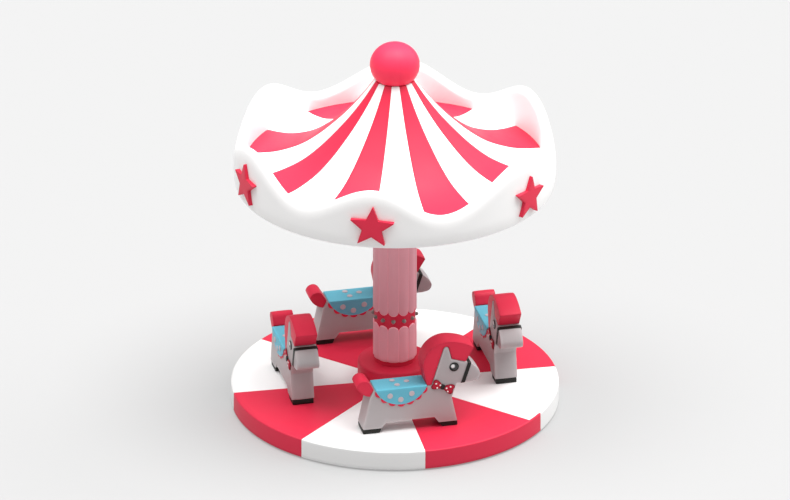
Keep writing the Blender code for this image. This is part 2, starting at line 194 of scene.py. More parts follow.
# The horse's outline: heel, rump, neck, ear, forehead, nose, chest and legs
HOOF_TOP = 0.037
REAR_HEEL = (-0.003, HOOF_TOP)
RUMP = (0.0500, 0.290)
RUMP_TOP = (0.0767, HORSE_BACK)
NECK_FOOT = (0.5105, HORSE_BACK)
EAR_CENTRE = (0.6180, 0.617)
EAR_ROUND = 0.0205
FOREHEAD_TOP = (0.6590, 0.537)
FOREHEAD_END = (0.7620, 0.5035)
NOSE_TOP = (0.8030, 0.489)
NOSE_SLOPE = (0.8475, 0.4485)
NOSE_TIP = (0.8712, 0.413)
LIP = (0.8695, 0.376)
CHIN = (0.8360, 0.349)
JAW = (0.8030, 0.343)
THROAT = (0.6960, 0.341)
CHEST = (0.6620, 0.232)
FRONT_KNEE = (0.7030, HOOF_TOP)
FRONT_LEG_BACK = (0.5630, HOOF_TOP)
BELLY_FRONT = (0.5310, 0.0825)
BELLY_REAR = (0.1760, 0.0825)
REAR_LEG_FRONT = (0.1400, HOOF_TOP)

# Blanket, bridle and bow tie
BLANKET_CENTRE = (0.2825, 0.4264)
BLANKET_ROUND = 0.2065
BLANKET_REAR = RUMP_TOP[0] + 0.0155
BLANKET_FRONT = 0.4720
BLANKET_THICKNESS = 0.0075
BLANKET_FOLD = 0.009
BLANKET_LIP = 0.0016
TRIM_HEIGHT = 0.0028
TRIM_ROOM = 0.0032
SCALLOP_PITCH = 19.1
SCALLOP_RING = 0.1950
SCALLOP_RADIUS = 0.0315
DOT_RADIUS = 0.0205
DOT_BITE = 0.0005
FLAP_DOTS = ((0.1975, 0.297), (0.277, 0.261), (0.359, 0.3005))
TOP_DOTS = ((0.2455, 0.047), (0.345, 0.012), (0.264, -0.032))
STRAP_REAR = ((0.727, 0.3413), (0.778, 0.4982))
STRAP_FRONT = ((0.755, 0.3418), (0.8035, 0.4895))
STRAP_THICKNESS = 0.0028
STRAP_CORNER = 0.007
BOW_CENTRE = (0.5930, 0.3240)
BOW_DIRECTION = (0.090, -0.038)
BOW_HEIGHT = 0.0095
KNOT_HEIGHT = 0.014
BOW_DOT_RADIUS = 0.0063
WING_CENTRE = 0.048
WING = (
    (0.006, 0.010), (0.030, 0.026), (0.056, 0.038), (0.078, 0.036), (0.086, 0.020), (0.080, 0.000),
    (0.086, -0.020), (0.078, -0.036), (0.056, -0.038), (0.030, -0.026), (0.006, -0.010),
)
KNOT = ((-0.020, -0.019), (0.012, -0.019), (0.012, 0.019), (-0.020, 0.019))
BOW_DOTS = ((0.540, 0.359), (0.5475, 0.325), (0.570, 0.343), (0.6175, 0.314), (0.6475, 0.322), (0.626, 0.287))


# Shared effects, as node groups

def math_node(tree, operation, first, second):
    """A math node whose two inputs are sockets or numbers, and its output."""
    node = tree.nodes.new("ShaderNodeMath")
    node.operation = operation
    for socket, value in zip(node.inputs, (first, second)):
        if isinstance(value, (int, float)):
            socket.default_value = value
        else:
            tree.links.new(value, socket)
    return node.outputs["Value"]


def total(tree, first, second):
    return math_node(tree, "ADD", first, second)


def scaled(tree, first, second):
    return math_node(tree, "MULTIPLY", first, second)


def object_place(tree):
    return tree.nodes.new("ShaderNodeTexCoord").outputs["Object"]


def noise_node(tree, position, scale, detail):
    node = tree.nodes.new("ShaderNodeTexNoise")
    node.inputs["Scale"].default_value = scale
    node.inputs["Detail"].default_value = detail
    tree.links.new(position, node.inputs["Vector"])
    return node.outputs["Fac"]


def tint(tree, colour, brightness):
    """The colour multiplied by a brightness socket."""
    node = tree.nodes.new("ShaderNodeVectorMath")
    node.operation = "SCALE"
    tree.links.new(colour, node.inputs[0])
    tree.links.new(brightness, node.inputs["Scale"])
    return node.outputs["Vector"]


def make_cover_group():
    """Coated fabric: cloudy colour, edges paler as rubbed wear and a painted highlight, red seams darker,
    uneven gloss and a fine pressed grain.
    """
    group = bpy.data.node_groups.new("coated_cover", "ShaderNodeTree")
    knobs = (("Colour", "Color", (0.8, 0.8, 0.8, 1.0)), ("Cloudiness", "Float", 0.05),
             ("Edge Wear And Highlight", "Float", 0.10), ("Gloss Base", "Float", 0.45), ("Grain Size", "Float", 520.0))
    for label, kind, value in knobs:
        socket = group.interface.new_socket(name=label, in_out="INPUT", socket_type=f"NodeSocket{kind}")
        socket.default_value = value
    for label, kind in (("Colour", "Color"), ("Roughness", "Float"), ("Height", "Float")):
        group.interface.new_socket(name=label, in_out="OUTPUT", socket_type=f"NodeSocket{kind}")
    given = group.nodes.new("NodeGroupInput").outputs
    result = group.nodes.new("NodeGroupOutput").inputs
    place = object_place(group)
    clouds = math_node(group, "SUBTRACT", noise_node(group, place, 5.0, 3.0), 0.5)
    specks = math_node(group, "SUBTRACT", noise_node(group, place, 60.0, 2.0), 0.5)
    swing = total(group, clouds, scaled(group, specks, 0.35))
    edge = group.nodes.new("ShaderNodeAttribute")
    edge.attribute_name = "seam_near"
    # Brightness change along edges and seams: rubbed wear and a painted highlight where paler, darker red
    # seams where negative.
    wear_and_highlight = scaled(group, edge.outputs["Fac"], given["Edge Wear And Highlight"])
    brightness = total(group, total(group, 1.0, scaled(group, swing, given["Cloudiness"])), wear_and_highlight)
    group.links.new(tint(group, given["Colour"], brightness), result["Colour"])
    group.links.new(total(group, given["Gloss Base"], scaled(group, swing, 0.18)), result["Roughness"])
    cells = group.nodes.new("ShaderNodeTexVoronoi")
    cells.feature = "SMOOTH_F1"
    group.links.new(place, cells.inputs["Vector"])
    group.links.new(given["Grain Size"], cells.inputs["Scale"])
    pores = scaled(group, noise_node(group, place, 260.0, 2.0), 0.5)
    group.links.new(total(group, scaled(group, cells.outputs["Distance"], 0.7), pores), result["Height"])
    return group


COVER = make_cover_group()


def new_finish(name):
    """A material with its node tree and its Principled shader."""
    finish = bpy.data.materials.new(name)
    finish.use_nodes = True
    return finish, finish.node_tree, finish.node_tree.nodes["Principled BSDF"]


def cover_finish(name, colour, gloss=0.45, cloudiness=0.06, wear_and_highlight=0.10):
    """Vinyl-coated fabric in one colour."""
    finish, tree, shader = new_finish(name)
    cover = tree.nodes.new("ShaderNodeGroup")
    cover.node_tree = COVER
    for label, value in (("Colour", (*colour, 1.0)), ("Cloudiness", cloudiness), ("Edge Wear And Highlight", wear_and_highlight),
                         ("Gloss Base", gloss)):
        cover.inputs[label].default_value = value
    bump = tree.nodes.new("ShaderNodeBump")
    bump.inputs["Strength"].default_value = 0.5
    bump.inputs["Distance"].default_value = GRAIN_DEPTH
    tree.links.new(cover.outputs["Height"], bump.inputs["Height"])
    tree.links.new(cover.outputs["Colour"], shader.inputs["Base Color"])
    tree.links.new(cover.outputs["Roughness"], shader.inputs["Roughness"])
    tree.links.new(bump.outputs["Normal"], shader.inputs["Normal"])
    shader.inputs["Specular IOR Level"].default_value = 0.20
    return finish


def metal_finish(name, colour, roughness, metallic):
    """Painted or plated steel with a brushed cast."""
    finish, tree, shader = new_finish(name)
    streaks = noise_node(tree, object_place(tree), 90.0, 3.0)
    uneven = scaled(tree, math_node(tree, "SUBTRACT", streaks, 0.5), 0.2)
    tree.links.new(total(tree, roughness, uneven), shader.inputs["Roughness"])
    plain = tree.nodes.new("ShaderNodeRGB").outputs[0]
    plain.default_value = (*colour, 1.0)
    tree.links.new(tint(tree, plain, total(tree, 1.0, uneven)), shader.inputs["Base Color"])
    shader.inputs["Metallic"].default_value = metallic
    return finish


def board_finish():
    """Birch plywood with long grain."""
    finish, tree, shader = new_finish("birch_ply")
    stretch = tree.nodes.new("ShaderNodeMapping")
    stretch.inputs["Scale"].default_value = (1.0, 14.0, 1.0)
    tree.links.new(object_place(tree), stretch.inputs["Vector"])
    grain = noise_node(tree, stretch.outputs["Vector"], 6.0, 5.0)
    ramp = tree.nodes.new("ShaderNodeValToRGB")
    ramp.color_ramp.elements[0].color = (0.50, 0.34, 0.20, 1.0)
    ramp.color_ramp.elements[1].color = (0.70, 0.54, 0.36, 1.0)
    tree.links.new(grain, ramp.inputs["Fac"])
    tree.links.new(ramp.outputs["Color"], shader.inputs["Base Color"])
    shader.inputs["Roughness"].default_value = 0.6
    return finish


# Edge values: a positive one makes a cover paler along its edges and seams, as rubbed wear and a painted
# highlight; a negative one makes the red seams darker.
RED = cover_finish("red_cover", (0.70, 0.026, 0.066), wear_and_highlight=-0.10)
WHITE = cover_finish("white_cover", (0.90, 0.89, 0.885), cloudiness=0.02, wear_and_highlight=0.03)
# The ball's cover is a brighter copy of the red: painted light.
BALL_RED_PAINTED_LIGHT = cover_finish("ball_painted_light_cover", (0.90, 0.042, 0.102), wear_and_highlight=-0.10)
# The skirts' covers are darker copies of the red and the white: painted shade near the floor.
SKIRT_RED_PAINTED_SHADE = cover_finish("red_skirt_painted_shade_cover", (0.66, 0.026, 0.065), wear_and_highlight=-0.10)
SKIRT_WHITE_PAINTED_SHADE = cover_finish("white_skirt_painted_shade_cover", (0.76, 0.755, 0.75), cloudiness=0.03, wear_and_highlight=0.03)
# The pink covers' large edge value paints a highlight along the sleeves' scalloped lips and pale lines along
# the flute grooves.
PINK_PAINTED_HIGHLIGHT = cover_finish("pink_painted_highlight_cover", (0.795, 0.363, 0.418), wear_and_highlight=0.45)
# The lower sleeve's cover is a brighter copy of the pink: painted light.
LOWER_PINK_PAINTED_LIGHT = cover_finish("lower_pink_painted_light_cover", (0.90, 0.405, 0.470), wear_and_highlight=0.45)
GREY = cover_finish("grey_cover", (0.42, 0.385, 0.39), wear_and_highlight=0.16)
BLUE = cover_finish("blue_cover", (0.13, 0.47, 0.60), wear_and_highlight=0.14)
BLACK = cover_finish("black_cover", (0.018, 0.018, 0.016), wear_and_highlight=0.2)
DOT = cover_finish("dot_cover", (0.53, 0.47, 0.50))
BOW_RED = cover_finish("bow_cover", (0.43, 0.012, 0.034), wear_and_highlight=-0.2)
BOW_EDGE = cover_finish("bow_edge_cover", (0.22, 0.007, 0.018))
EYE_GREY = cover_finish("eye_grey_cover", (0.050, 0.053, 0.053), gloss=0.25)
EYE_WHITE = cover_finish("eye_white_cover", (0.85, 0.85, 0.85), gloss=0.25)
EYE_PALE = cover_finish("eye_pale_cover", (0.42, 0.42, 0.43), gloss=0.25)
BEAD_STEEL = metal_finish("bead_steel", (0.28, 0.27, 0.25), 0.32, 0.7)
PLATE_STEEL = metal_finish("plate_steel", (0.20, 0.21, 0.22), 0.45, 0.6)
BIRCH = board_finish()


# Points and curves

def fade(distance, reach):
    """How much of a seam's pull is left at this distance from it."""
    return np.exp(-distance / reach)


def on_bearing(radius, bearing, height):
    """The point at this radius, bearing and height."""
    angle = math.radians(bearing)
    return (radius * math.sin(angle), -radius * math.cos(angle), height)


def turned(profile, bearing):
    """The (radius, height) points of a profile, carried round to a bearing."""
    return [on_bearing(radius, bearing, height) for radius, height in profile]


def evenly(start, end, steps):
    """Evenly spaced numbers from start to end, both included."""
    return [start + (end - start) * step / steps for step in range(steps + 1)]


def full_turn(steps):
    return evenly(0, 360, steps)[:-1]


def arc_points(centre, radius, start, end, steps, tallness=1.0):
    """Points on a circle or ellipse in a plane, from one angle to another in degrees, both ends included."""
    turns = [math.radians(angle) for angle in evenly(start, end, steps)]
    return [(centre[0] + radius * math.cos(turn), centre[1] + radius * tallness * math.sin(turn))
            for turn in turns]


def arc_through(first, middle, last, steps):
    """Points on the circular arc that runs from first through middle to last."""
    a, b, c = (complex(*point) for point in (first, middle, last))
    ratio = (c - a) / (b - a)
    centre = a + (b - a) * (ratio - abs(ratio) ** 2) / (2j * ratio.imag)
    start, via, end = (math.degrees(cmath.phase(point - centre)) for point in (a, b, c))
    sweep = (end - start) % 360
    if (via - start) % 360 > sweep:
        sweep -= 360
    return arc_points((centre.real, centre.imag), abs(a - centre), start, start + sweep, steps)


def smooth_curve(points, steps):
    """A curve through the points, as an open list with this many steps between neighbours."""
    knots = [Vector(point) for point in points]
    knots = [2 * knots[0] - knots[1]] + knots + [2 * knots[-1] - knots[-2]]
    curve = []
    for a, b, c, d in zip(knots, knots[1:], knots[2:], knots[3:]):
        for step in range(steps):
            u = step / steps
            curve.append(0.5 * ((2 * b) + (c - a) * u + (2 * a - 5 * b + 4 * c - d) * u * u
                                + (3 * b - a - 3 * c + d) * u * u * u))
    curve.append(knots[-2])
    return [tuple(point) for point in curve]


def strip(radius, low, high, steps, swell):
    """The (radius, height) points of a taut strip between its two edges, fullest halfway up."""
    return [(radius - swell * (2 * share - 1) ** 4, low + (high - low) * share)
            for share in evenly(0, 1, steps)[1:-1]]


# Meshes

def grid_faces(row_count, column_count, rows_wrap=False, columns_wrap=False):
    """Quads between neighbouring rows of points that are stored one row after another."""
    faces = []
    for row in range(row_count if rows_wrap else row_count - 1):
        below = row * column_count
        above = (row + 1) % row_count * column_count
        for column in range(column_count if columns_wrap else column_count - 1):
            after = (column + 1) % column_count
            faces.append((below + column, below + after, above + after, above + column))
    return faces


def side_faces(row_count, column_count, columns=(0, -1)):
    """Faces that close a grid along its first and last columns."""
    starts = [column % column_count for column in columns]
    return [tuple(row * column_count + start for row in range(row_count)) for start in starts]


def row_faces(row_count, column_count):
    """Faces that close a grid along its first and last rows."""
    return [tuple(range(first, first + column_count)) for first in (0, (row_count - 1) * column_count)]


def shifted(faces, first):
    return [tuple(first + corner for corner in face) for face in faces]


def new_object(name, data):
    """An object in the scene."""
    piece = bpy.data.objects.new(name, data)
    bpy.context.scene.collection.objects.link(piece)
    return piece


def new_piece(name, mesh, finish, smooth):
    """An object for a finished mesh, smooth but for edges sharper than this angle."""
    mesh.materials.append(finish)
    mesh.shade_smooth()
    mesh.set_sharp_from_angle(angle=math.radians(smooth))
    return new_object(name, mesh)


def make_piece(name, points, faces, finish, seams=None, smooth=38):
    """A closed mesh from points and faces, with how near each point is to a seam."""
    mesh = bpy.data.meshes.new(name)
    mesh.from_pydata([tuple(point) for point in points], [], faces)
    near = mesh.attributes.new("seam_near", "FLOAT", "POINT")
    if seams is not None:
        near.data.foreach_set("value", np.asarray(seams, np.float32))
    work = bmesh.new()
    work.from_mesh(mesh)
    bmesh.ops.remove_doubles(work, verts=work.verts, dist=2e-5)
    bmesh.ops.recalc_face_normals(work, faces=work.faces)
    work.to_mesh(mesh)
    work.free()
    return new_piece(name, mesh, finish, smooth)


def turned_pad(name, profile, steps, finish, seams=None):
    """A pad turned from an open (radius, height) profile and closed at both ends."""
    points = []
    for bearing in full_turn(steps):
        points += turned(profile, bearing)
    faces = grid_faces(steps, len(profile), True) + side_faces(steps, len(profile))
    return make_piece(name, points, faces, finish, None if seams is None else seams * steps)


def fit(piece, slot, nodes=(), fill=None):
    """Put a piece on the turning body and hide the solids it stands for; the slot and the stuffing fill are
    not used.
    """
    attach(piece, "carousel")
    if nodes:
        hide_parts(*nodes)


def read_points(mesh, label):
    """A mesh's places or normals, one point in each row."""
    found = np.empty(len(mesh.vertices) * 3, np.float32)
    mesh.vertices.foreach_get(label, found)
    return found.reshape(-1, 3)


def stuffed(piece, ways, swell):
    """Let the stuffing push out the panels that face these ways, by cloth simulation, the rest held."""
    mesh = piece.data
    start = read_points(mesh, "co")
    facing = np.max(read_points(mesh, "normal") @ np.array(ways).T, axis=1)
    near = np.empty(len(start), np.float32)
    mesh.attributes["seam_near"].data.foreach_get("value", near)
    held = piece.vertex_groups.new(name="held")
    held.add([int(index) for index in np.flatnonzero((near > 0.97) | (facing < 0.9))], 1.0, "REPLACE")
    stuffing = piece.modifiers.new("stuffing", "CLOTH")
    cloth = stuffing.settings
    cloth.vertex_group_mass = held.name
    cloth.use_pressure = True
    cloth.uniform_pressure_force = STUFFING_PRESSURE
    cloth.effector_weights.gravity = 0.0
    cloth.tension_stiffness = 30.0
    cloth.compression_stiffness = 30.0
    cloth.bending_stiffness = 0.4
    stuffing.collision_settings.use_collision = False
    stuffing.point_cache.frame_end = CLOTH_FRAMES
    scene = bpy.context.scene
    for step in range(1, CLOTH_FRAMES + 1):
        scene.frame_set(step)
    swollen = piece.evaluated_get(bpy.context.evaluated_depsgraph_get())
    move = read_points(swollen.data, "co") - start
    piece.modifiers.remove(stuffing)
    piece.vertex_groups.remove(held)
    scene.frame_set(1)
    length = np.linalg.norm(move, axis=1)[:, None]
    move *= swell * np.tanh(length / swell) / np.maximum(length, 1e-9)
    mesh.vertices.foreach_set("co", (start + move).ravel())
    mesh.update()
    return piece


# Sewn outlines

def facing_left(outline):
    """The closed outline, counter-clockwise."""
    area = sum(a[0] * b[1] - b[0] * a[1] for a, b in zip(outline, outline[1:] + outline[:1]))
    return list(outline) if area > 0 else list(reversed(outline))


def rounded(outline, radius):
    """The closed outline with each sharp corner turned into a small arc."""
    result = []
    for index, point in enumerate(outline):
        here = Vector(point)
        into = here - Vector(outline[index - 1])
        out = Vector(outline[(index + 1) % len(outline)]) - here
        turn = math.atan2(into.x * out.y - into.y * out.x, into.dot(out))
        if abs(turn) < math.radians(20):
            result.append(tuple(here))
            continue
        cut = min(radius * math.tan(abs(turn) / 2), 0.42 * into.length, 0.42 * out.length)
        bend = cut / math.tan(abs(turn) / 2)
        inward = Vector((-into.y, into.x)).normalized() * math.copysign(1.0, turn)
        centre = here - into.normalized() * cut + inward * bend
        steps = max(2, math.ceil(abs(turn) / math.radians(18)))
        for step in range(steps + 1):
            spin = Matrix.Rotation(turn * step / steps, 2)
            result.append(tuple(centre + spin @ (-inward * bend)))
    return result


def divided(outline, spacing):
    """The closed outline with no side longer than the spacing."""
    result = []
    for here, after in zip(outline, outline[1:] + outline[:1]):
        length = math.dist(here, after)
        if length < 1e-5:
            continue
        pieces = max(1, math.ceil(length / spacing))
        for step in range(pieces):
            share = step / pieces
            result.append((here[0] + (after[0] - here[0]) * share, here[1] + (after[1] - here[1]) * share))
    return result


def outward(loop):
    """The mitred outward direction at each point of a counter-clockwise loop."""
    normals = []
    for side in (loop - np.roll(loop, 1, axis=0), np.roll(loop, -1, axis=0) - loop):
        side = side / np.linalg.norm(side, axis=1)[:, None]
        normals.append(np.stack([side[:, 1], -side[:, 0]], axis=1))
    mitre = normals[0] + normals[1]
    mitre /= np.linalg.norm(mitre, axis=1)[:, None]
    return mitre / np.maximum(np.sum(mitre * normals[0], axis=1), 0.5)[:, None]


def distance_to_loop(points, loop):
    """How far each point lies from a closed loop's nearest side."""
    best = np.full(len(points), 1e9)
    for here, after in zip(loop, np.roll(loop, -1, axis=0)):
        side = after - here
        share = np.clip(((points - here) @ side) / (side @ side), 0, 1)
        best = np.minimum(best, np.linalg.norm(points - here - share[:, None] * side, axis=1))
    return best


def inside_loop(points, loop):
    """Which points lie inside a closed loop."""
    found = np.zeros(len(points), bool)
    x, y = points[:, 0], points[:, 1]
    for (ax, ay), (bx, by) in zip(loop, np.roll(loop, -1, axis=0)):
        crosses = (ay > y) != (by > y)
        level = np.where(by == ay, 1e-12, by - ay)
        found ^= crosses & (x < (bx - ax) * (y - ay) / level + ax)
    return found


def panel(loop, spacing):
    """A panel's points, their distances from its edge, and its triangles, on a staggered grid."""
    low, high = loop.min(axis=0), loop.max(axis=0)
    rise = spacing * 0.866
    grid = []
    for row in range(int((high[1] - low[1]) / rise) + 1):
        shift = spacing / 2 * (row % 2)
        for column in range(int((high[0] - low[0]) / spacing) + 1):
            grid.append((low[0] + shift + column * spacing, low[1] + row * rise))
    grid = np.array(grid)
    grid = grid[inside_loop(grid, loop)]
    grid = grid[distance_to_loop(grid, loop) > 0.6 * spacing]
    points = [Vector(point) for point in np.vstack([loop, grid])]
    found = delaunay_2d_cdt(points, [], [list(range(len(loop)))], 1, 1e-7)
    places = np.array([tuple(point) for point in found[0]])
    return places, distance_to_loop(places, loop), [tuple(face) for face in found[2]]


def welted_edge(edge, lifts):
    """A panel's rounded edge with a welt on it, as insets and depths below the panel."""
    profile = []
    for angle, lift in zip((0, 30, 45, 60, 90), lifts):
        turn = math.radians(angle)
        ridge = 0.707 * WELT * lift
        profile.append((edge * (1 - math.sin(turn)) - ridge, edge * (1 - math.cos(turn)) - ridge))
    return profile


def beside_horse(s, z, t):
    """The place of an outline's point on a horse, with t growing toward the near side."""
    return (s, -t, z)


def sewn(name, outline, rows, panels, place, finish, smooth=38):
    """A closed cover: rows of points that follow an outline, and a panel over each end.

    A row is an inset, a level and its edge wear and highlight weight. A panel is an inset, a level, its
    crown, the reach over which that builds up, its edge wear and highlight weight and a spacing.
    """
    loop = np.array(outline)
    away = outward(loop)
    points = []
    seams = []
    for inset, level, wear_and_highlight in rows:
        points += [place(*point, level) for point in loop - away * inset]
        seams += [wear_and_highlight] * len(loop)
    faces = grid_faces(len(rows), len(loop), columns_wrap=True)
    for inset, level, crown, reach, wear_and_highlight, spacing in panels:
        places, depth, triangles = panel(loop - away * inset, spacing)
        faces += shifted(triangles, len(points))
        lifts = crown * (1 - fade(depth, reach))
        points += [place(*point, level + lift) for point, lift in zip(places, lifts)]
        seams += list(wear_and_highlight * fade(depth, WEAR_AND_HIGHLIGHT_WIDTH))
    return make_piece(name, points, faces, finish, seams, smooth)


def slab_pad(name, outline, width, crown, finish):
    """A foam slab in a sewn cover: crowned side panels, a welt along both edges and a taut band."""
    pull = 0.6 * crown
    half = width / 2 - crown
    flat = half - PAD_EDGE
    near = [(inset + pull, half - depth, 1.0)
            for inset, depth in welted_edge(PAD_EDGE, (0.0, 0.3, 1.0, 0.3, 0.0))]
    band_steps = max(4, round(2 * flat / (1.6 * PAD_SPACING)))
    band = [(pull * share ** 4, flat * share, fade((1 - abs(share)) * flat, WEAR_AND_HIGHLIGHT_WIDTH))
            for share in evenly(1, -1, band_steps)[1:-1]]
    far = [(inset, -level, wear_and_highlight) for inset, level, wear_and_highlight in reversed(near)]
    panels = [(near[0][0], side * half, side * START_CROWN * crown, 0.030, 1.0, PAD_SPACING)
              for side in (1, -1)]
    loop = divided(rounded(facing_left(outline), PAD_EDGE + 0.003), PAD_SPACING)
    piece = sewn(name, loop, near + band + far, panels, beside_horse, finish)
    return stuffed(piece, ((0, 1, 0), (0, -1, 0)), (1 - START_CROWN) * crown)


def flat_patch(name, outline, face, height, finish, spacing=0.010, lip=0.0008, crown=0.0):
    """A thin patch of this outline that starts at the given t and stands up by its height."""
    top = face + height
    rows = ((0.0, face, 0.0), (0.0, top - lip, 0.0), (0.35 * lip, top - 0.3 * lip, 0.0), (lip, top, 0.0))
    panels = [(inset, level, lift, 0.008, 0.0, spacing * 1.3)
              for inset, level, lift in ((0.0, face, 0.0), (lip, top, crown))]
    return sewn(name, divided(facing_left(outline), spacing), rows, panels, beside_horse, finish, smooth=45)


def disc(centre, radius, steps):
    return arc_points(centre, radius, 0, 360 * (1 - 1 / steps), steps - 1)


def both_sides(piece):
    """The piece's mesh together with its mirror image on the horse's other side."""
    work = bmesh.new()
    work.from_mesh(piece.data)
    copy = bmesh.ops.duplicate(work, geom=work.verts[:] + work.edges[:] + work.faces[:])["geom"]
    for item in copy:
        if isinstance(item, bmesh.types.BMVert):
            item.co.y = -item.co.y
    bmesh.ops.reverse_faces(work, faces=[item for item in copy if isinstance(item, bmesh.types.BMFace)])
    work.to_mesh(piece.data)
    work.free()
    return piece


def joined(name, pieces):
    """Several pieces of one finish as one."""
    first = pieces[0]
    work = bmesh.new()
    for piece in pieces:
        work.from_mesh(piece.data)
    work.to_mesh(first.data)
    work.free()
    for piece in pieces[1:]:
        bpy.data.objects.remove(piece)
    first.name = first.data.name = name
    return first


# Deck

def sector_columns(radius, start, end):
    """Bearings across a wedge, close together at its seams, each with its distance from the nearer seam."""
    left = [start + math.degrees(math.asin((SEAT_GAP + offset) / radius)) for offset in SEAM_STEPS]
    right = [end - (bearing - start) for bearing in reversed(left)]
    middle = evenly(left[-1], right[0], 16)[1:-1]
    return [(bearing, radius * math.radians(min(bearing - start, end - bearing)))
            for bearing in left + middle + right]


def wedge(name, section, start, end, finish, seam_depth):
    """A wedge-shaped pad, sunk at the seams with its neighbours.

    A section point is a radius, a height, the outward direction in which the pad is full, and its edge wear
    and highlight weight.
    """
    points = []
    seams = []
    for radius, height, (out_r, out_z), wear_and_highlight in section:
        for bearing, distance in sector_columns(radius, start, end):
            sink = seam_depth * fade(distance, 0.005) + 0.0012 * fade(distance, 0.04)
            points.append(on_bearing(radius - out_r * sink, bearing, height - out_z * sink))
            seams.append(max(wear_and_highlight, 0.5 * fade(distance, WEAR_AND_HIGHLIGHT_WIDTH)))
    count = len(points) // len(section)
    faces = grid_faces(len(section), count, True) + side_faces(len(section), count)
    return make_piece(name, points, faces, finish, seams)


def top_section():
    """The wedge's top panel and its foam, from the hub out to the sewn edge."""
    inner = HUB_RADIUS + 0.0015
    outer = DECK_RADIUS - DECK_EDGE_ROUND
    foam, hem = outer - 0.04, outer - SEAT_GAP
    section = [
        (inner, BOARD_TOP + SEAT_GAP, (0, 0), 0.0),
        (foam, BOARD_TOP + SEAT_GAP, (0, 0), 0.0),
        (foam, DECK_TOP - 0.030, (0, 0), 0.0),
        (hem, DECK_TOP - 0.012, (0, 0), 0.0),
        (hem, DECK_TOP - 0.0025, (0, 0.5), 0.5),
        (outer - 0.0012, DECK_TOP - 0.0008, (0, 1), 0.5),
    ]
    far = outer - 0.004
    section += [(radius, DECK_TOP, (0, 1), 0.5 * fade(far - radius, WEAR_AND_HIGHLIGHT_WIDTH))
                for radius in evenly(far, inner + 0.002, 30)]
    return section + [(inner, DECK_TOP - 0.002, (0, 0.5), 0.0)]


def skirt_section():
    """The deck's rounded edge and its skirt, a boxing strip sewn to the top panels."""
    corner = (DECK_RADIUS - DECK_EDGE_ROUND, DECK_TOP - DECK_EDGE_ROUND)
    foot = (DECK_RADIUS - SKIRT_FOOT_ROUND, DECK_UNDERSIDE + SKIRT_FOOT_ROUND)
    section = [(SKIRT_INNER, BOARD_TOP + SEAT_GAP, (0, 0), 0.0), (SKIRT_INNER, DECK_UNDERSIDE, (0, 0), 0.0)]
    section += [(*point, (0.4, 0), 0.6) for point in arc_points(foot, SKIRT_FOOT_ROUND, -90, 0, 3)]
    section += [(*point, (1, 0), 0.0) for point in strip(DECK_RADIUS, foot[1], corner[1], 6, SKIRT_SWELL)]
    for point in arc_points(corner, DECK_EDGE_ROUND - 0.0006, 0, 90, 8):
        section.append((*point, tuple((Vector(point) - Vector(corner)).normalized()), 0.2))
    hem = corner[0] + SEAT_GAP
    return section + [
        (hem, DECK_TOP - 0.0025, (0, 0.5), 0.5),
        (hem, DECK_TOP - 0.012, (0, 0), 0.0),
        (corner[0] - 0.035, DECK_TOP - 0.035, (0, 0), 0.0),
    ]


def build_deck():
    width = 360 / SECTOR_COUNT
    for sector in range(SECTOR_COUNT):
        start = FIRST_SEAM_BEARING + width * (sector - 1)
        end = start + width
        colour, finish, edging = ("red", RED, SKIRT_RED_PAINTED_SHADE) if sector % 2 else ("white", WHITE, SKIRT_WHITE_PAINTED_SHADE)
        label = f"{colour}_{sector // 2 + 1}"
        top = wedge(f"deck_cushion_{label}", top_section(), start, end, finish, DECK_SEAM_DEPTH)
        fit(top, f"{colour}_vinyl", [f"deck_pad_{label}"], fill=0.95)
        start = LONG_SKIRT_END if label == "white_2" else start
        end = LONG_SKIRT_END if label == "red_1" else end
        # The skirt takes a darker copy of its colour's cover: painted shade near the floor.
        skirt = wedge(f"deck_skirt_{label}", skirt_section(), start, end, edging, SKIRT_SEAM_DEPTH)
        fit(skirt, f"{colour}_vinyl", fill=0.95)


def build_hub():
    low = BOARD_TOP + SEAT_GAP
    rim = HUB_RADIUS - HUB_EDGE_ROUND
    side = [(HUB_RADIUS - HUB_SWELL, low)]
    side += strip(HUB_RADIUS, low, HUB_TOP - HUB_EDGE_ROUND, 9, HUB_SWELL)
    corner = arc_points((rim, HUB_TOP - HUB_EDGE_ROUND), HUB_EDGE_ROUND - 0.001, 0, 90, 8)
    top = [(radius, HUB_TOP - SEAT_GAP - 0.0012 * fade(rim - radius, 0.012))
           for radius in (0.250, 0.240, 0.225, 0.205, 0.185, 0.165, 0.150)]
    seams = [0.0] * len(side) + [0.35] * len(corner) + [0.0] * len(top)
    fit(turned_pad("hub_cushion", side + corner + top, 128, RED, seams), "red_vinyl", ["hub_pad"], fill=0.95)
    low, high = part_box("column_collar")
    radius = high.x
    profile = [(radius, low.z), (radius, low.z + 0.004), (radius - 0.002, (low.z + high.z) / 2),
               (radius, high.z - 0.004), (radius, high.z)]
    fit(turned_pad("collar_cover", profile, 96, RED), "red_vinyl", ["column_collar"], fill=0.9)


# Column

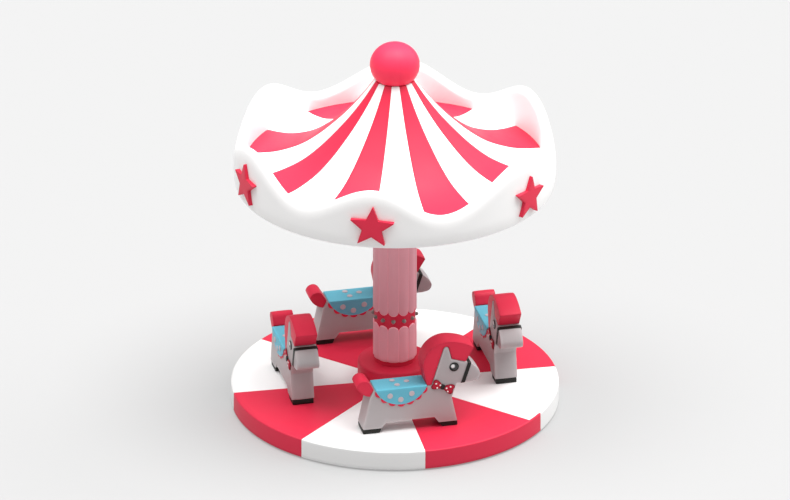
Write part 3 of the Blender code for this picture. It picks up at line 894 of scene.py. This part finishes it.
def build_sleeve(name, node, plain_end, cup_floor, cusp, tip, finish):
    """A fluted, quilted sleeve whose scalloped end stands over the red band."""
    side = 1 if tip > plain_end else -1
    hem = plain_end + side * SLEEVE_HEM
    points = []
    seams = []
    for flute in range(FLUTE_COUNT):
        for offset in FLUTE_SHARES:
            share = abs(offset)
            groove = GROOVE_DEPTH * fade(1 - share, 0.05)
            radius = COLUMN_RADIUS - FLUTE_DEPTH * 0.9 * share * share - groove
            end = cusp + (tip - cusp) * math.sqrt(1 - share * share)
            body_end = end - side * SLEEVE_LIP
            rim = min(SLEEVE_LIP, radius - CUP_RADIUS)
            column = [(CUP_RADIUS - 0.002, plain_end), (radius - 0.002, plain_end)]
            column += [(radius, height) for height in evenly(hem, body_end, 14)]
            for angle in (22, 45, 67, 90):
                turn = math.radians(angle)
                over = side * SLEEVE_LIP * math.sin(turn)
                column.append((radius - rim * (1 - math.cos(turn)), body_end + over))
            column += [(CUP_RADIUS, end), (CUP_RADIUS, cup_floor)]
            points += turned(column, FLUTE_BEARING + 360 / FLUTE_COUNT * (flute + offset / 2))
            # The lip rows carry the full edge mask and the grooves a weaker one; with the pink covers' large
            # edge value these become a painted highlight along the scalloped lips and pale lines along the
            # grooves.
            edge = [0.0] * (len(column) - 6) + [0.7, 1.0, 1.0, 1.0, 0.6, 0.0]
            seams += [max(value, 0.4 * fade(1 - share, 0.06)) for value in edge]
    steps = FLUTE_COUNT * len(FLUTE_SHARES)
    count = len(points) // steps
    faces = grid_faces(steps, count, True) + side_faces(steps, count)
    fit(make_piece(name, points, faces, finish, seams, smooth=50), "pink_vinyl", [node], fill=0.9)


def build_column():
    # The lower sleeve takes a brighter copy of the pink cover: painted light.
    build_sleeve("lower_sleeve_pad", "lower_sleeve", COLUMN_FOOT, BAND_BOTTOM - SEAT_GAP,
                 LOWER_CUSP, LOWER_TIP, LOWER_PINK_PAINTED_LIGHT)
    build_sleeve("upper_sleeve_pad", "upper_sleeve", CEILING - SEAT_GAP, BAND_TOP + SEAT_GAP,
                 UPPER_CUSP, UPPER_TIP, PINK_PAINTED_HIGHLIGHT)
    tall = BAND_TOP - BAND_BOTTOM
    profile = [(BAND_RADIUS + 0.0008 * math.sin(math.pi * share), BAND_BOTTOM + tall * share)
               for share in evenly(0, 1, 12)]
    fit(turned_pad("band_cover", profile, 144, RED), "red_vinyl", ["column_band"], fill=0.8)
    beads = bmesh.new()
    for flute in range(FLUTE_COUNT):
        bearing = FLUTE_BEARING + 360 * flute / FLUTE_COUNT
        place = Vector(on_bearing(BAND_RADIUS + 0.7 * BEAD_RADIUS, bearing, BEAD_HEIGHT))
        bmesh.ops.create_uvsphere(beads, u_segments=24, v_segments=14, radius=BEAD_RADIUS,
                                  matrix=Matrix.Translation(place))
        collar = Vector(on_bearing(BAND_RADIUS + BEAD_COLLAR / 2, bearing, BEAD_HEIGHT))
        lean = Vector(on_bearing(1.0, bearing, 0.0)).to_track_quat("Z", "Y").to_matrix().to_4x4()
        bmesh.ops.create_cone(beads, cap_ends=True, segments=24, radius1=BEAD_RADIUS + 0.003,
                              radius2=BEAD_RADIUS + 0.001, depth=BEAD_COLLAR,
                              matrix=Matrix.Translation(collar) @ lean)
    mesh = bpy.data.meshes.new("band_beads")
    beads.to_mesh(mesh)
    beads.free()
    fit(new_piece("band_beads", mesh, BEAD_STEEL, 40), "grey_steel")


# Canopy

def crest_height(bearing):
    """The canopy's wavy crest: a smooth swing between each peak and the valley beside it."""
    first_bearing, first_height = CREST_TURNS[0]
    turn = (bearing - first_bearing) % 360 + first_bearing
    following = CREST_TURNS[1:] + ((first_bearing + 360, first_height),)
    for (start, first), (end, last) in zip(CREST_TURNS, following):
        if start <= turn <= end:
            share = (turn - start) / (end - start)
            height = first + (last - first) * (0.5 - 0.5 * math.cos(math.pi * share))
    return height


def wall_radius(height):
    """The canopy's outer wall, which bulges out from its lip and then stands upright."""
    drop = max(0.0, WALL_WIDEST_HEIGHT - height)
    return WALL_RADIUS - (WALL_RADIUS - LIP_RADIUS) * (drop / (WALL_WIDEST_HEIGHT - CEILING)) ** 2


def rim_section(bearing):
    """The padded rim's section at a bearing, from its inner foot round the outside to the dish."""
    crest = crest_height(bearing)
    inner = TENT_RADIUS + SEAT_GAP
    foot = CANOPY_BOARD_RADIUS + 0.001
    low, shoulder = CEILING + 0.006, crest - OUTER_ROUND
    start, dish = crest - INNER_ROUND, TENT_PROFILE[-1][1] + 0.002
    outside, inside = WALL_RADIUS - CREST_RADIUS, CREST_RADIUS - inner
    section = [(foot, CANOPY_BOTTOM + 0.002), (foot + 0.004, CANOPY_BOTTOM)]
    section += arc_points((LIP_RADIUS - LIP_ROUND, CANOPY_BOTTOM + LIP_ROUND), LIP_ROUND, -90, -20, 5)
    section += [(wall_radius(height), height) for height in evenly(low, shoulder, 12)]
    section += arc_points((CREST_RADIUS, shoulder), outside, 0, 90, 12, OUTER_ROUND / outside)[1:]
    section += arc_points((CREST_RADIUS, start), inside, 90, 180, 8, INNER_ROUND / inside)[1:]
    section += [(inner, height) for height in evenly(start, dish, 6)[1:]]
    return section + [(inner, CANOPY_BOARD_TOP - SEAT_GAP), (foot, CANOPY_BOARD_TOP - SEAT_GAP)]


def build_rim():
    bearings = full_turn(288)
    points = []
    for bearing in bearings:
        section = rim_section(bearing)
        points += turned(section, bearing)
    faces = grid_faces(len(bearings), len(section), True, True)
    fit(make_piece("rim_cushion", points, faces, WHITE), "white_vinyl", ["canopy_rim"], fill=0.9)


def build_ceiling():
    """The cover under the canopy, which hangs a little between its sixteen seams."""
    steps = 144
    back = [(radius, CANOPY_BOARD_TOP - SEAT_GAP)
            for radius in (CANOPY_BOARD_RADIUS, (COLUMN_RADIUS + CANOPY_BOARD_RADIUS) / 2, 0.0)]
    points = []
    for bearing in full_turn(steps):
        fold = abs((bearing + CEILING_FOLD / 2) % CEILING_FOLD - CEILING_FOLD / 2) / (CEILING_FOLD / 2)
        profile = []
        for share in (0.0, 0.08, 0.16, 0.25, 0.35, 0.45, 0.55, 0.65, 0.75, 0.84, 0.91, 0.96, 0.985, 1.0):
            sag = CEILING_SAG * math.sin(math.pi * share) * (1 - fade(1 - fold, 0.1))
            profile.append((CANOPY_BOARD_RADIUS * share, CEILING + 0.0045 - sag))
        profile += back
        points += turned(profile, bearing)
    faces = grid_faces(steps, len(profile), True)
    fit(make_piece("ceiling_cover", points, faces, WHITE), "white_vinyl", ["canopy_board"], fill=0.8)


def build_tent():
    """Sixteen sewn gores, red and white in turn, each a padded strip from the ball down to the dish."""
    profile = [UNDER_BALL] + smooth_curve(TENT_PROFILE, 6)
    under = [(radius, height - TENT_THICKNESS) for radius, height in reversed(profile)]
    under[0] = (profile[-1][0], CANOPY_BOARD_TOP)
    count = 2 * len(profile)
    width = 180 / STRIPE_COUNT
    gore_faces = grid_faces(len(GORE_SHARES), count, columns_wrap=True) + row_faces(len(GORE_SHARES), count)
    for first, colour, finish, nodes in ((0, "red", RED, ()), (1, "white", WHITE, ["canopy_tent"])):
        points = []
        faces = []
        seams = []
        for gore in range(first, 2 * STRIPE_COUNT, 2):
            faces += shifted(gore_faces, len(points))
            for share in GORE_SHARES:
                top = []
                for radius, height in profile:
                    distance = radius * math.radians(width) * min(share, 1 - share)
                    sink = TENT_SEAM_DEPTH * fade(distance, 0.004) + 0.0015 * fade(distance, 0.03)
                    top.append((radius, height - sink))
                    seams.append(3.0 * fade(distance, 0.004))
                seams += [0.0] * len(under)
                points += turned(top + under, width * (gore + share))
        piece = make_piece(f"tent_{colour}_gores", points, faces, finish, seams)
        fit(piece, f"{colour}_vinyl", nodes, fill=0.8)


def build_ball():
    """A stuffed ball of six gores, a little wider than it is tall."""
    steps = 96
    seat = TENT_PROFILE[0][1] + SEAT_GAP
    start = math.degrees(math.asin((seat - BALL_CENTRE) / BALL_HALF_HEIGHT))
    profile = [(0.0, seat)]
    profile += arc_points((0, BALL_CENTRE), BALL_RADIUS, start, 89.9, 40, BALL_HALF_HEIGHT / BALL_RADIUS)
    points = []
    seams = []
    for bearing in full_turn(steps):
        fold = abs((bearing + BALL_GORE / 2) % BALL_GORE - BALL_GORE / 2)
        for radius, height in profile:
            distance = radius * math.radians(fold)
            scale = 1 - BALL_SEAM_DEPTH / BALL_RADIUS * fade(distance, 0.004)
            points.append(on_bearing(radius * scale, bearing, BALL_CENTRE + (height - BALL_CENTRE) * scale))
            seams.append(0.25 * fade(distance, 0.004))
    faces = grid_faces(steps, len(profile), True) + side_faces(steps, len(profile), (-1,))
    # The ball takes a brighter copy of the red cover: painted light.
    fit(make_piece("ball_cushion", points, faces, BALL_RED_PAINTED_LIGHT, seams), "red_vinyl", ["canopy_ball"], fill=1.0)


def star_corners():
    corners = []
    for corner in range(10):
        reach = STAR_RADIUS * (STAR_WAIST if corner % 2 else 1.0)
        angle = math.radians(90 - 36 * corner)
        corners.append((reach * math.cos(angle), reach * math.sin(angle) * STAR_TALLNESS))
    return corners


def build_star(number, bearing, middle_height, tilt):
    """A thick star pad whose back follows the canopy's wall."""
    lean = math.radians(-tilt)
    turn = math.radians(bearing)
    front = WALL_RADIUS + STAR_THICKNESS

    def place(across, up, distance):
        """A point of the star, at this distance from the axis or, where that is 0, on the wall."""
        side = across * math.cos(lean) - up * math.sin(lean)
        height = middle_height + across * math.sin(lean) + up * math.cos(lean)
        if distance == 0:
            distance = math.sqrt((wall_radius(height) + 2 * SEAT_GAP) ** 2 - side * side)
        return (distance * math.sin(turn) + side * math.cos(turn),
                -distance * math.cos(turn) + side * math.sin(turn), height)

    face = front - STAR_CROWN
    edge = welted_edge(STAR_EDGE, (0.0, 0.2, 0.8, 0.2, 0.0))
    rows = [(inset, face - depth, 1.0) for inset, depth in edge]
    rows += [(0.0, front - 0.55 * STAR_THICKNESS, 0.0), (0.0, 0.0, 0.3)]
    panels = ((edge[0][0], face, START_CROWN * STAR_CROWN, 0.015, 1.0, STAR_SPACING),
              (0.0, 0.0, 0.0, 0.015, 0.0, 2 * STAR_SPACING))
    loop = divided(rounded(facing_left(star_corners()), 0.0035), STAR_SPACING)
    piece = sewn(f"star_cushion_{number}", loop, rows, panels, place, RED)
    stuffed(piece, (on_bearing(1, bearing, 0),), (1 - START_CROWN) * STAR_CROWN)
    fit(piece, "red_vinyl", [f"star_{number}"], fill=0.9)


# Horses

def head_top():
    """From the foot of the neck up the back of the ear, over its tip and along the forehead."""
    return [NECK_FOOT] + arc_points(EAR_CENTRE, EAR_ROUND, 162, 14, 12) + [FOREHEAD_TOP, FOREHEAD_END]


def body_outline():
    muzzle = arc_through(NOSE_TOP, NOSE_SLOPE, NOSE_TIP, 8) + arc_through(NOSE_TIP, LIP, CHIN, 12)[1:]
    legs = [JAW, THROAT, CHEST, FRONT_KNEE, FRONT_LEG_BACK, BELLY_FRONT, BELLY_REAR, REAR_LEG_FRONT]
    return [REAR_HEEL, RUMP, RUMP_TOP] + head_top() + muzzle + legs


def offset_path(points, distance):
    """The same open path moved to its left by a distance, with mitred corners."""
    points = [Vector(point) for point in points]
    sides = [(after - here).normalized() for here, after in zip(points, points[1:])]
    normals = [Vector((-side.y, side.x)) for side in sides]
    moved = []
    for here, first, second in zip(points, normals[:1] + normals, normals + normals[-1:]):
        mitre = (first + second).normalized()
        moved.append(tuple(here + mitre * (distance / mitre.dot(first))))
    return moved


def mane_outline():
    """A round crest from the horse's back over the ear to a blunt tip above the nose."""
    tip = (0.828, 0.6125)
    crest = arc_points((0.632, 0.492), 0.185, 184, 84, 28)
    crest += arc_through(crest[-1], (0.7543, 0.6515), tip, 12)[1:-1]
    foot = (0.474, HORSE_BACK + SEAT_GAP)
    under = list(reversed(offset_path(head_top(), SEAT_GAP)))
    under[0] = (FOREHEAD_END[0] + 0.001, FOREHEAD_END[1] + SEAT_GAP)
    under[-1] = (under[-1][0], foot[1])
    return [foot] + crest + [tip] + under


def tail_outline():
    """A round bob seated on the rump's sloping corner."""
    slope = Vector(RUMP_TOP) - Vector(RUMP)
    away = Vector((-slope.y, slope.x)).normalized() * SEAT_GAP
    seat_low = tuple(Vector(RUMP) + slope * 0.13 + away)
    seat_high = tuple(Vector(RUMP_TOP) + away)
    beak = (RUMP_TOP[0] + 0.0055, HORSE_BACK + 0.009)
    rear = (-0.0475, 0.378)
    under = arc_through(seat_low, (-0.010, 0.326), rear, 14)
    crown = arc_through(rear, (-0.002, 0.4255), (0.050, 0.405), 16)
    return under[:1] + under[2:] + crown[1:] + [beak, seat_high]


def hoof_outline(sole_rear, leg_rear, leg_front, sole_front):
    top = HOOF_TOP - SEAT_GAP
    return [(sole_rear, 0.0), (leg_rear[0], top), (leg_front[0], top), (sole_front, 0.0)]


def mirrored(points):
    return [(-t, z) for t, z in reversed(points)]


def blanket_piece():
    """The saddle blanket: a cover folded over the back, with a flap cut as part of a circle on each side."""
    under_side = HORSE_SIDE + TRIM_ROOM
    under_top = HORSE_BACK + SEAT_GAP
    columns = 48
    points = []
    seams = []
    for share in evenly(0, 1, columns):
        at_end = share in (0, 1)
        s = BLANKET_REAR + (BLANKET_FRONT - BLANKET_REAR) * (0.5 - 0.5 * math.cos(math.pi * share))
        drop = BLANKET_CENTRE[1] - math.sqrt(BLANKET_ROUND ** 2 - (s - BLANKET_CENTRE[0]) ** 2)
        thickness = BLANKET_THICKNESS - (0.0015 if at_end else 0.0)
        side, top = HORSE_SIDE + thickness, under_top + thickness
        low, high = drop + BLANKET_LIP, top - BLANKET_FOLD
        outer = [(side - BLANKET_LIP, drop), (side - 0.0004, low)]
        outer += [(side, height) for height in evenly(low, high, 9)[1:]]
        outer += arc_points((side - BLANKET_FOLD, high), BLANKET_FOLD, 18, 90, 4)
        outer += [(across, top) for across in evenly(side - BLANKET_FOLD, 0.0, 8)[1:]]
        under = [(0.0, under_top), (HORSE_WIDTH / 4, under_top)]
        under += [(under_side, max(under_top, drop)), (under_side, drop)]
        ring = outer + mirrored(outer)[1:] + mirrored(under) + under[1:]
        points += [(s, -t, z) for t, z in ring]
        edge = 1.0 if at_end else 0.0
        values = [1.0, 1.0] + [edge] * (len(outer) - 13) + [0.7] * 3 + [edge] * 8
        seams += values + values[-2::-1] + [edge] * 7
    count = len(ring)
    faces = grid_faces(columns + 1, count, columns_wrap=True) + row_faces(columns + 1, count)
    return make_piece("blanket_cover", points, faces, BLUE, seams, smooth=50)


def trim_outline():
    """The scalloped edge that shows below the blanket's flap, seven scallops long."""
    reach = 3.5 * SCALLOP_PITCH
    hidden = BLANKET_ROUND - 0.004
    outer = []
    for angle in evenly(-reach, reach, 140):
        offset = math.radians((angle + reach) % SCALLOP_PITCH - SCALLOP_PITCH / 2)
        chord = SCALLOP_RADIUS ** 2 - (SCALLOP_RING * math.sin(offset)) ** 2
        radius = max(SCALLOP_RING * math.cos(offset) + math.sqrt(chord), hidden) if chord > 0 else hidden
        turn = math.radians(angle)
        height = min(BLANKET_CENTRE[1] - radius * math.cos(turn), HORSE_BACK)
        outer.append((BLANKET_CENTRE[0] + radius * math.sin(turn), height))
    back = arc_points(BLANKET_CENTRE, BLANKET_ROUND - 0.020, -90 + reach, -90 - reach, 30)
    return outer + [(s, min(z, HORSE_BACK - 0.002)) for s, z in back]


def top_dot(s, t):
    """A low round dot on the blanket's top."""
    level = HORSE_BACK + SEAT_GAP + BLANKET_THICKNESS - DOT_BITE
    rows = ((DOT_RADIUS, level), (DOT_RADIUS, level + 0.0030), (DOT_RADIUS - 0.0010, level + 0.0040),
            (0.0, level + 0.0045))
    steps = 36
    points = []
    for angle in full_turn(steps):
        turn = math.radians(angle)
        points += [(s + radius * math.cos(turn), t + radius * math.sin(turn), z) for radius, z in rows]
    faces = grid_faces(steps, len(rows), True) + side_faces(steps, len(rows), (0,))
    return make_piece("top_dot", points, faces, DOT)


def dot_piece():
    """The blanket's dots: three on each flap and three on top."""
    face = HORSE_SIDE + BLANKET_THICKNESS - DOT_BITE
    sides = [flat_patch("flap_dot", disc(place, DOT_RADIUS, 32), face, 0.0045, DOT, spacing=0.006, lip=0.0012)
             for place in FLAP_DOTS]
    flaps = both_sides(joined("flap_dots", sides))
    return joined("blanket_dots", [flaps] + [top_dot(*place) for place in TOP_DOTS])


def strap_piece():
    """The bridle strap: a closed loop round the muzzle, slanted along the cheek."""

    def loop(low, high, out):
        """One edge of the strap, as points round the muzzle."""
        low, high = Vector(low), Vector(high)
        axis = (high - low).normalized()
        radius = STRAP_CORNER + out * 0.5
        side = HORSE_SIDE + out - radius
        bottom, top = radius - SEAT_GAP - out, (high - low).length + SEAT_GAP + out - radius
        path = []
        for quarter, centre in enumerate(((side, top), (-side, top), (-side, bottom), (side, bottom))):
            for across, up in arc_points(centre, radius, 90 * quarter, 90 * quarter + 90, 5):
                place = low + axis * up
                path.append((place.x, -across, place.y))
        return path

    rings = (loop(*STRAP_REAR, 0.0), loop(*STRAP_REAR, STRAP_THICKNESS),
             loop(*STRAP_FRONT, STRAP_THICKNESS), loop(*STRAP_FRONT, 0.0))
    points = [point for corners in zip(*rings) for point in corners]
    return make_piece("bridle_strap", points, grid_faces(len(rings[0]), 4, True, True), BLACK, smooth=40)


def bow_pieces():
    """The bow tie: two padded wings with a dark edge, a knot and white dots, on both sides of the neck."""
    axis = Vector(BOW_DIRECTION).normalized()
    up = Vector((-axis.y, axis.x))

    def local(u, v):
        return tuple(Vector(BOW_CENTRE) + axis * u + up * v)

    pieces = []
    for label, scale, height, finish, crown in (("bow_edge", 1.0, 0.006, BOW_EDGE, 0.0),
                                                ("bow_wing", 0.84, BOW_HEIGHT, BOW_RED, 0.003)):
        sides = []
        for side in (-1, 1):
            outline = [local(side * (WING_CENTRE + (u - WING_CENTRE) * scale), v * scale) for u, v in WING]
            curve = smooth_curve(outline + outline[:1], 5)[:-1]
            sides.append(flat_patch(f"{label}_{side}", curve, HORSE_SIDE, height, finish,
                                    spacing=0.007, lip=0.0025, crown=crown))
        pieces.append(both_sides(joined(label, sides)))
    knot = rounded(facing_left([local(u, v) for u, v in KNOT]), 0.009)
    pieces.append(both_sides(flat_patch("bow_knot", knot, HORSE_SIDE, KNOT_HEIGHT, BLACK,
                                        spacing=0.006, lip=0.004, crown=0.002)))
    wing_top = HORSE_SIDE + BOW_HEIGHT
    dots = [flat_patch("bow_dot", disc(place, BOW_DOT_RADIUS, 20), wing_top, 0.0035, WHITE, spacing=0.005)
            for place in BOW_DOTS]
    pieces.append(both_sides(joined("bow_dots", dots)))
    return pieces


def eye_pieces():
    """An eye on each side: a black disc, a grey iris and a pale ring round a white middle."""
    layers = (
        ("eye_disc", (0.676, 0.475), 0.0355, 0.0030, BLACK),
        ("eye_iris", (0.683, 0.472), 0.0235, 0.0040, EYE_GREY),
        ("eye_ring", (0.6660, 0.4825), 0.0165, 0.0050, EYE_PALE),
        ("eye_middle", (0.6655, 0.4830), 0.0120, 0.0056, EYE_WHITE),
    )
    return [both_sides(flat_patch(label, disc(centre, radius, 40), HORSE_SIDE, height, finish,
                                  spacing=0.006, lip=0.0007, crown=0.0006))
            for label, centre, radius, height, finish in layers]


def make_horse_parts():
    """One of each of the horse's pieces: piece, slot, the node that it stands for and its fill."""
    rear = hoof_outline(0.001, REAR_HEEL, REAR_LEG_FRONT, 0.1245)
    fore = hoof_outline(0.591, FRONT_LEG_BACK, FRONT_KNEE, 0.7060)
    pads = (
        ("body_cushion", "body", body_outline(), HORSE_WIDTH, PAD_CROWN, GREY, "grey_vinyl"),
        ("mane_cushion", "mane", mane_outline(), MANE_WIDTH, PAD_CROWN, RED, "red_vinyl"),
        ("tail_cushion", "tail", tail_outline(), TAIL_WIDTH, PAD_CROWN, RED, "red_vinyl"),
        ("rear_hoof_pad", "rear_hoof", rear, HOOF_WIDTH, HOOF_CROWN, BLACK, "black_vinyl"),
        ("front_hoof_pad", "front_hoof", fore, HOOF_WIDTH, HOOF_CROWN, BLACK, "black_vinyl"),
    )
    parts = [(slab_pad(label, outline, width, crown, finish), slot, node, 0.95)
             for label, node, outline, width, crown, finish, slot in pads]
    parts.append((blanket_piece(), "blue_vinyl", "blanket", 0.5))
    edging = flat_patch("blanket_trim", trim_outline(), HORSE_SIDE, TRIM_HEIGHT, RED, spacing=0.008)
    patches = [both_sides(edging), dot_piece(), strap_piece()] + bow_pieces() + eye_pieces()
    colours = ("red", "white", "black", "red", "red", "black", "white", "black", "black", "white", "white")
    return parts + [(piece, f"{colour}_vinyl", None, None) for piece, colour in zip(patches, colours)]


def build_horses():
    parts = make_horse_parts()
    for name, x, y, heading in HORSES:
        turn = Matrix.Rotation(math.radians(heading), 4, "Z") @ Matrix.Translation((-HORSE_MIDDLE, 0, 0))
        place = Matrix.Translation((x, y, DECK_TOP + SEAT_GAP)) @ turn
        for pattern, slot, node, fill in parts:
            piece = new_object(f"horse_{name}_{pattern.name}", pattern.data)
            piece.matrix_world = place
            fit(piece, slot, [f"horse_{name}_{node}"] if node else (), fill)
    for pattern, *_ in parts:
        bpy.data.objects.remove(pattern)


def finish_cad_nodes():
    """The plate, ring and board that stay as the solids made them."""
    finishes = {"base_plate": PLATE_STEEL, "slewing_ring": PLATE_STEEL, "turntable_board": BIRCH}
    for node, finish in finishes.items():
        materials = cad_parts[node].data.materials
        materials.clear()
        materials.append(finish)


# Camera, lights and floor

def aimed(name, data, bearing, elevation):
    """A camera or lamp that looks in from this bearing and elevation, and the direction to it."""
    tilt = math.radians(elevation)
    back = Vector(on_bearing(math.cos(tilt), bearing, math.sin(tilt)))
    piece = new_object(name, data)
    piece.rotation_mode = "QUATERNION"
    piece.rotation_quaternion = back.to_track_quat("Z", "Y")
    return piece, back


def add_camera():
    data = bpy.data.cameras.new("camera")
    data.lens = CAMERA_LENS
    data.sensor_width = 36.0
    data.clip_end = 400.0
    camera, back = aimed("camera", data, CAMERA_AZIMUTH, CAMERA_ELEVATION)
    camera.location = CAMERA_AIM + back * CAMERA_DISTANCE
    bpy.context.scene.camera = camera


def add_studio():
    """A pale floor, a sky that is brightest overhead, and soft lamps."""
    world = bpy.data.worlds.new("studio")
    bpy.context.scene.world = world
    world.use_nodes = True
    tree = world.node_tree
    background = tree.nodes["Background"].inputs
    split = tree.nodes.new("ShaderNodeSeparateXYZ")
    tree.links.new(tree.nodes.new("ShaderNodeTexCoord").outputs["Generated"], split.inputs["Vector"])
    ramp = tree.nodes.new("ShaderNodeMapRange")
    ramp.inputs["To Max"].default_value = SKY_OVERHEAD
    tree.links.new(split.outputs["Z"], ramp.inputs["Value"])
    tree.links.new(ramp.outputs["Result"], background["Strength"])
    background["Color"].default_value = (1.0, 1.0, 1.0, 1.0)
    for name, bearing, elevation, strength, spread in LAMPS:
        data = bpy.data.lights.new(name, "SUN")
        data.energy = strength
        data.angle = math.radians(spread)
        aimed(name, data, bearing, elevation)
    finish, _, shader = new_finish("studio_floor")
    shader.inputs["Base Color"].default_value = (FLOOR_GREY, FLOOR_GREY, FLOOR_GREY, 1.0)
    shader.inputs["Roughness"].default_value = 0.9
    shader.inputs["Emission Color"].default_value = (1.0, 1.0, 1.0, 1.0)
    shader.inputs["Emission Strength"].default_value = FLOOR_GLOW
    corners = [(x * FLOOR_REACH, y * FLOOR_REACH, -0.0005) for x, y in ((-1, -1), (1, -1), (1, 1), (-1, 1))]
    floor = make_piece("studio_floor", corners, [(0, 1, 2, 3)], finish)
    bpy.context.scene.view_settings.view_transform = "Standard"


add_camera()
add_studio()
build_deck()
build_hub()
build_column()
build_rim()
build_ceiling()
build_tent()
build_ball()
for number, (bearing, height, tilt) in enumerate(STARS, start=1):
    build_star(number, bearing, height, tilt)
build_horses()
finish_cad_nodes()
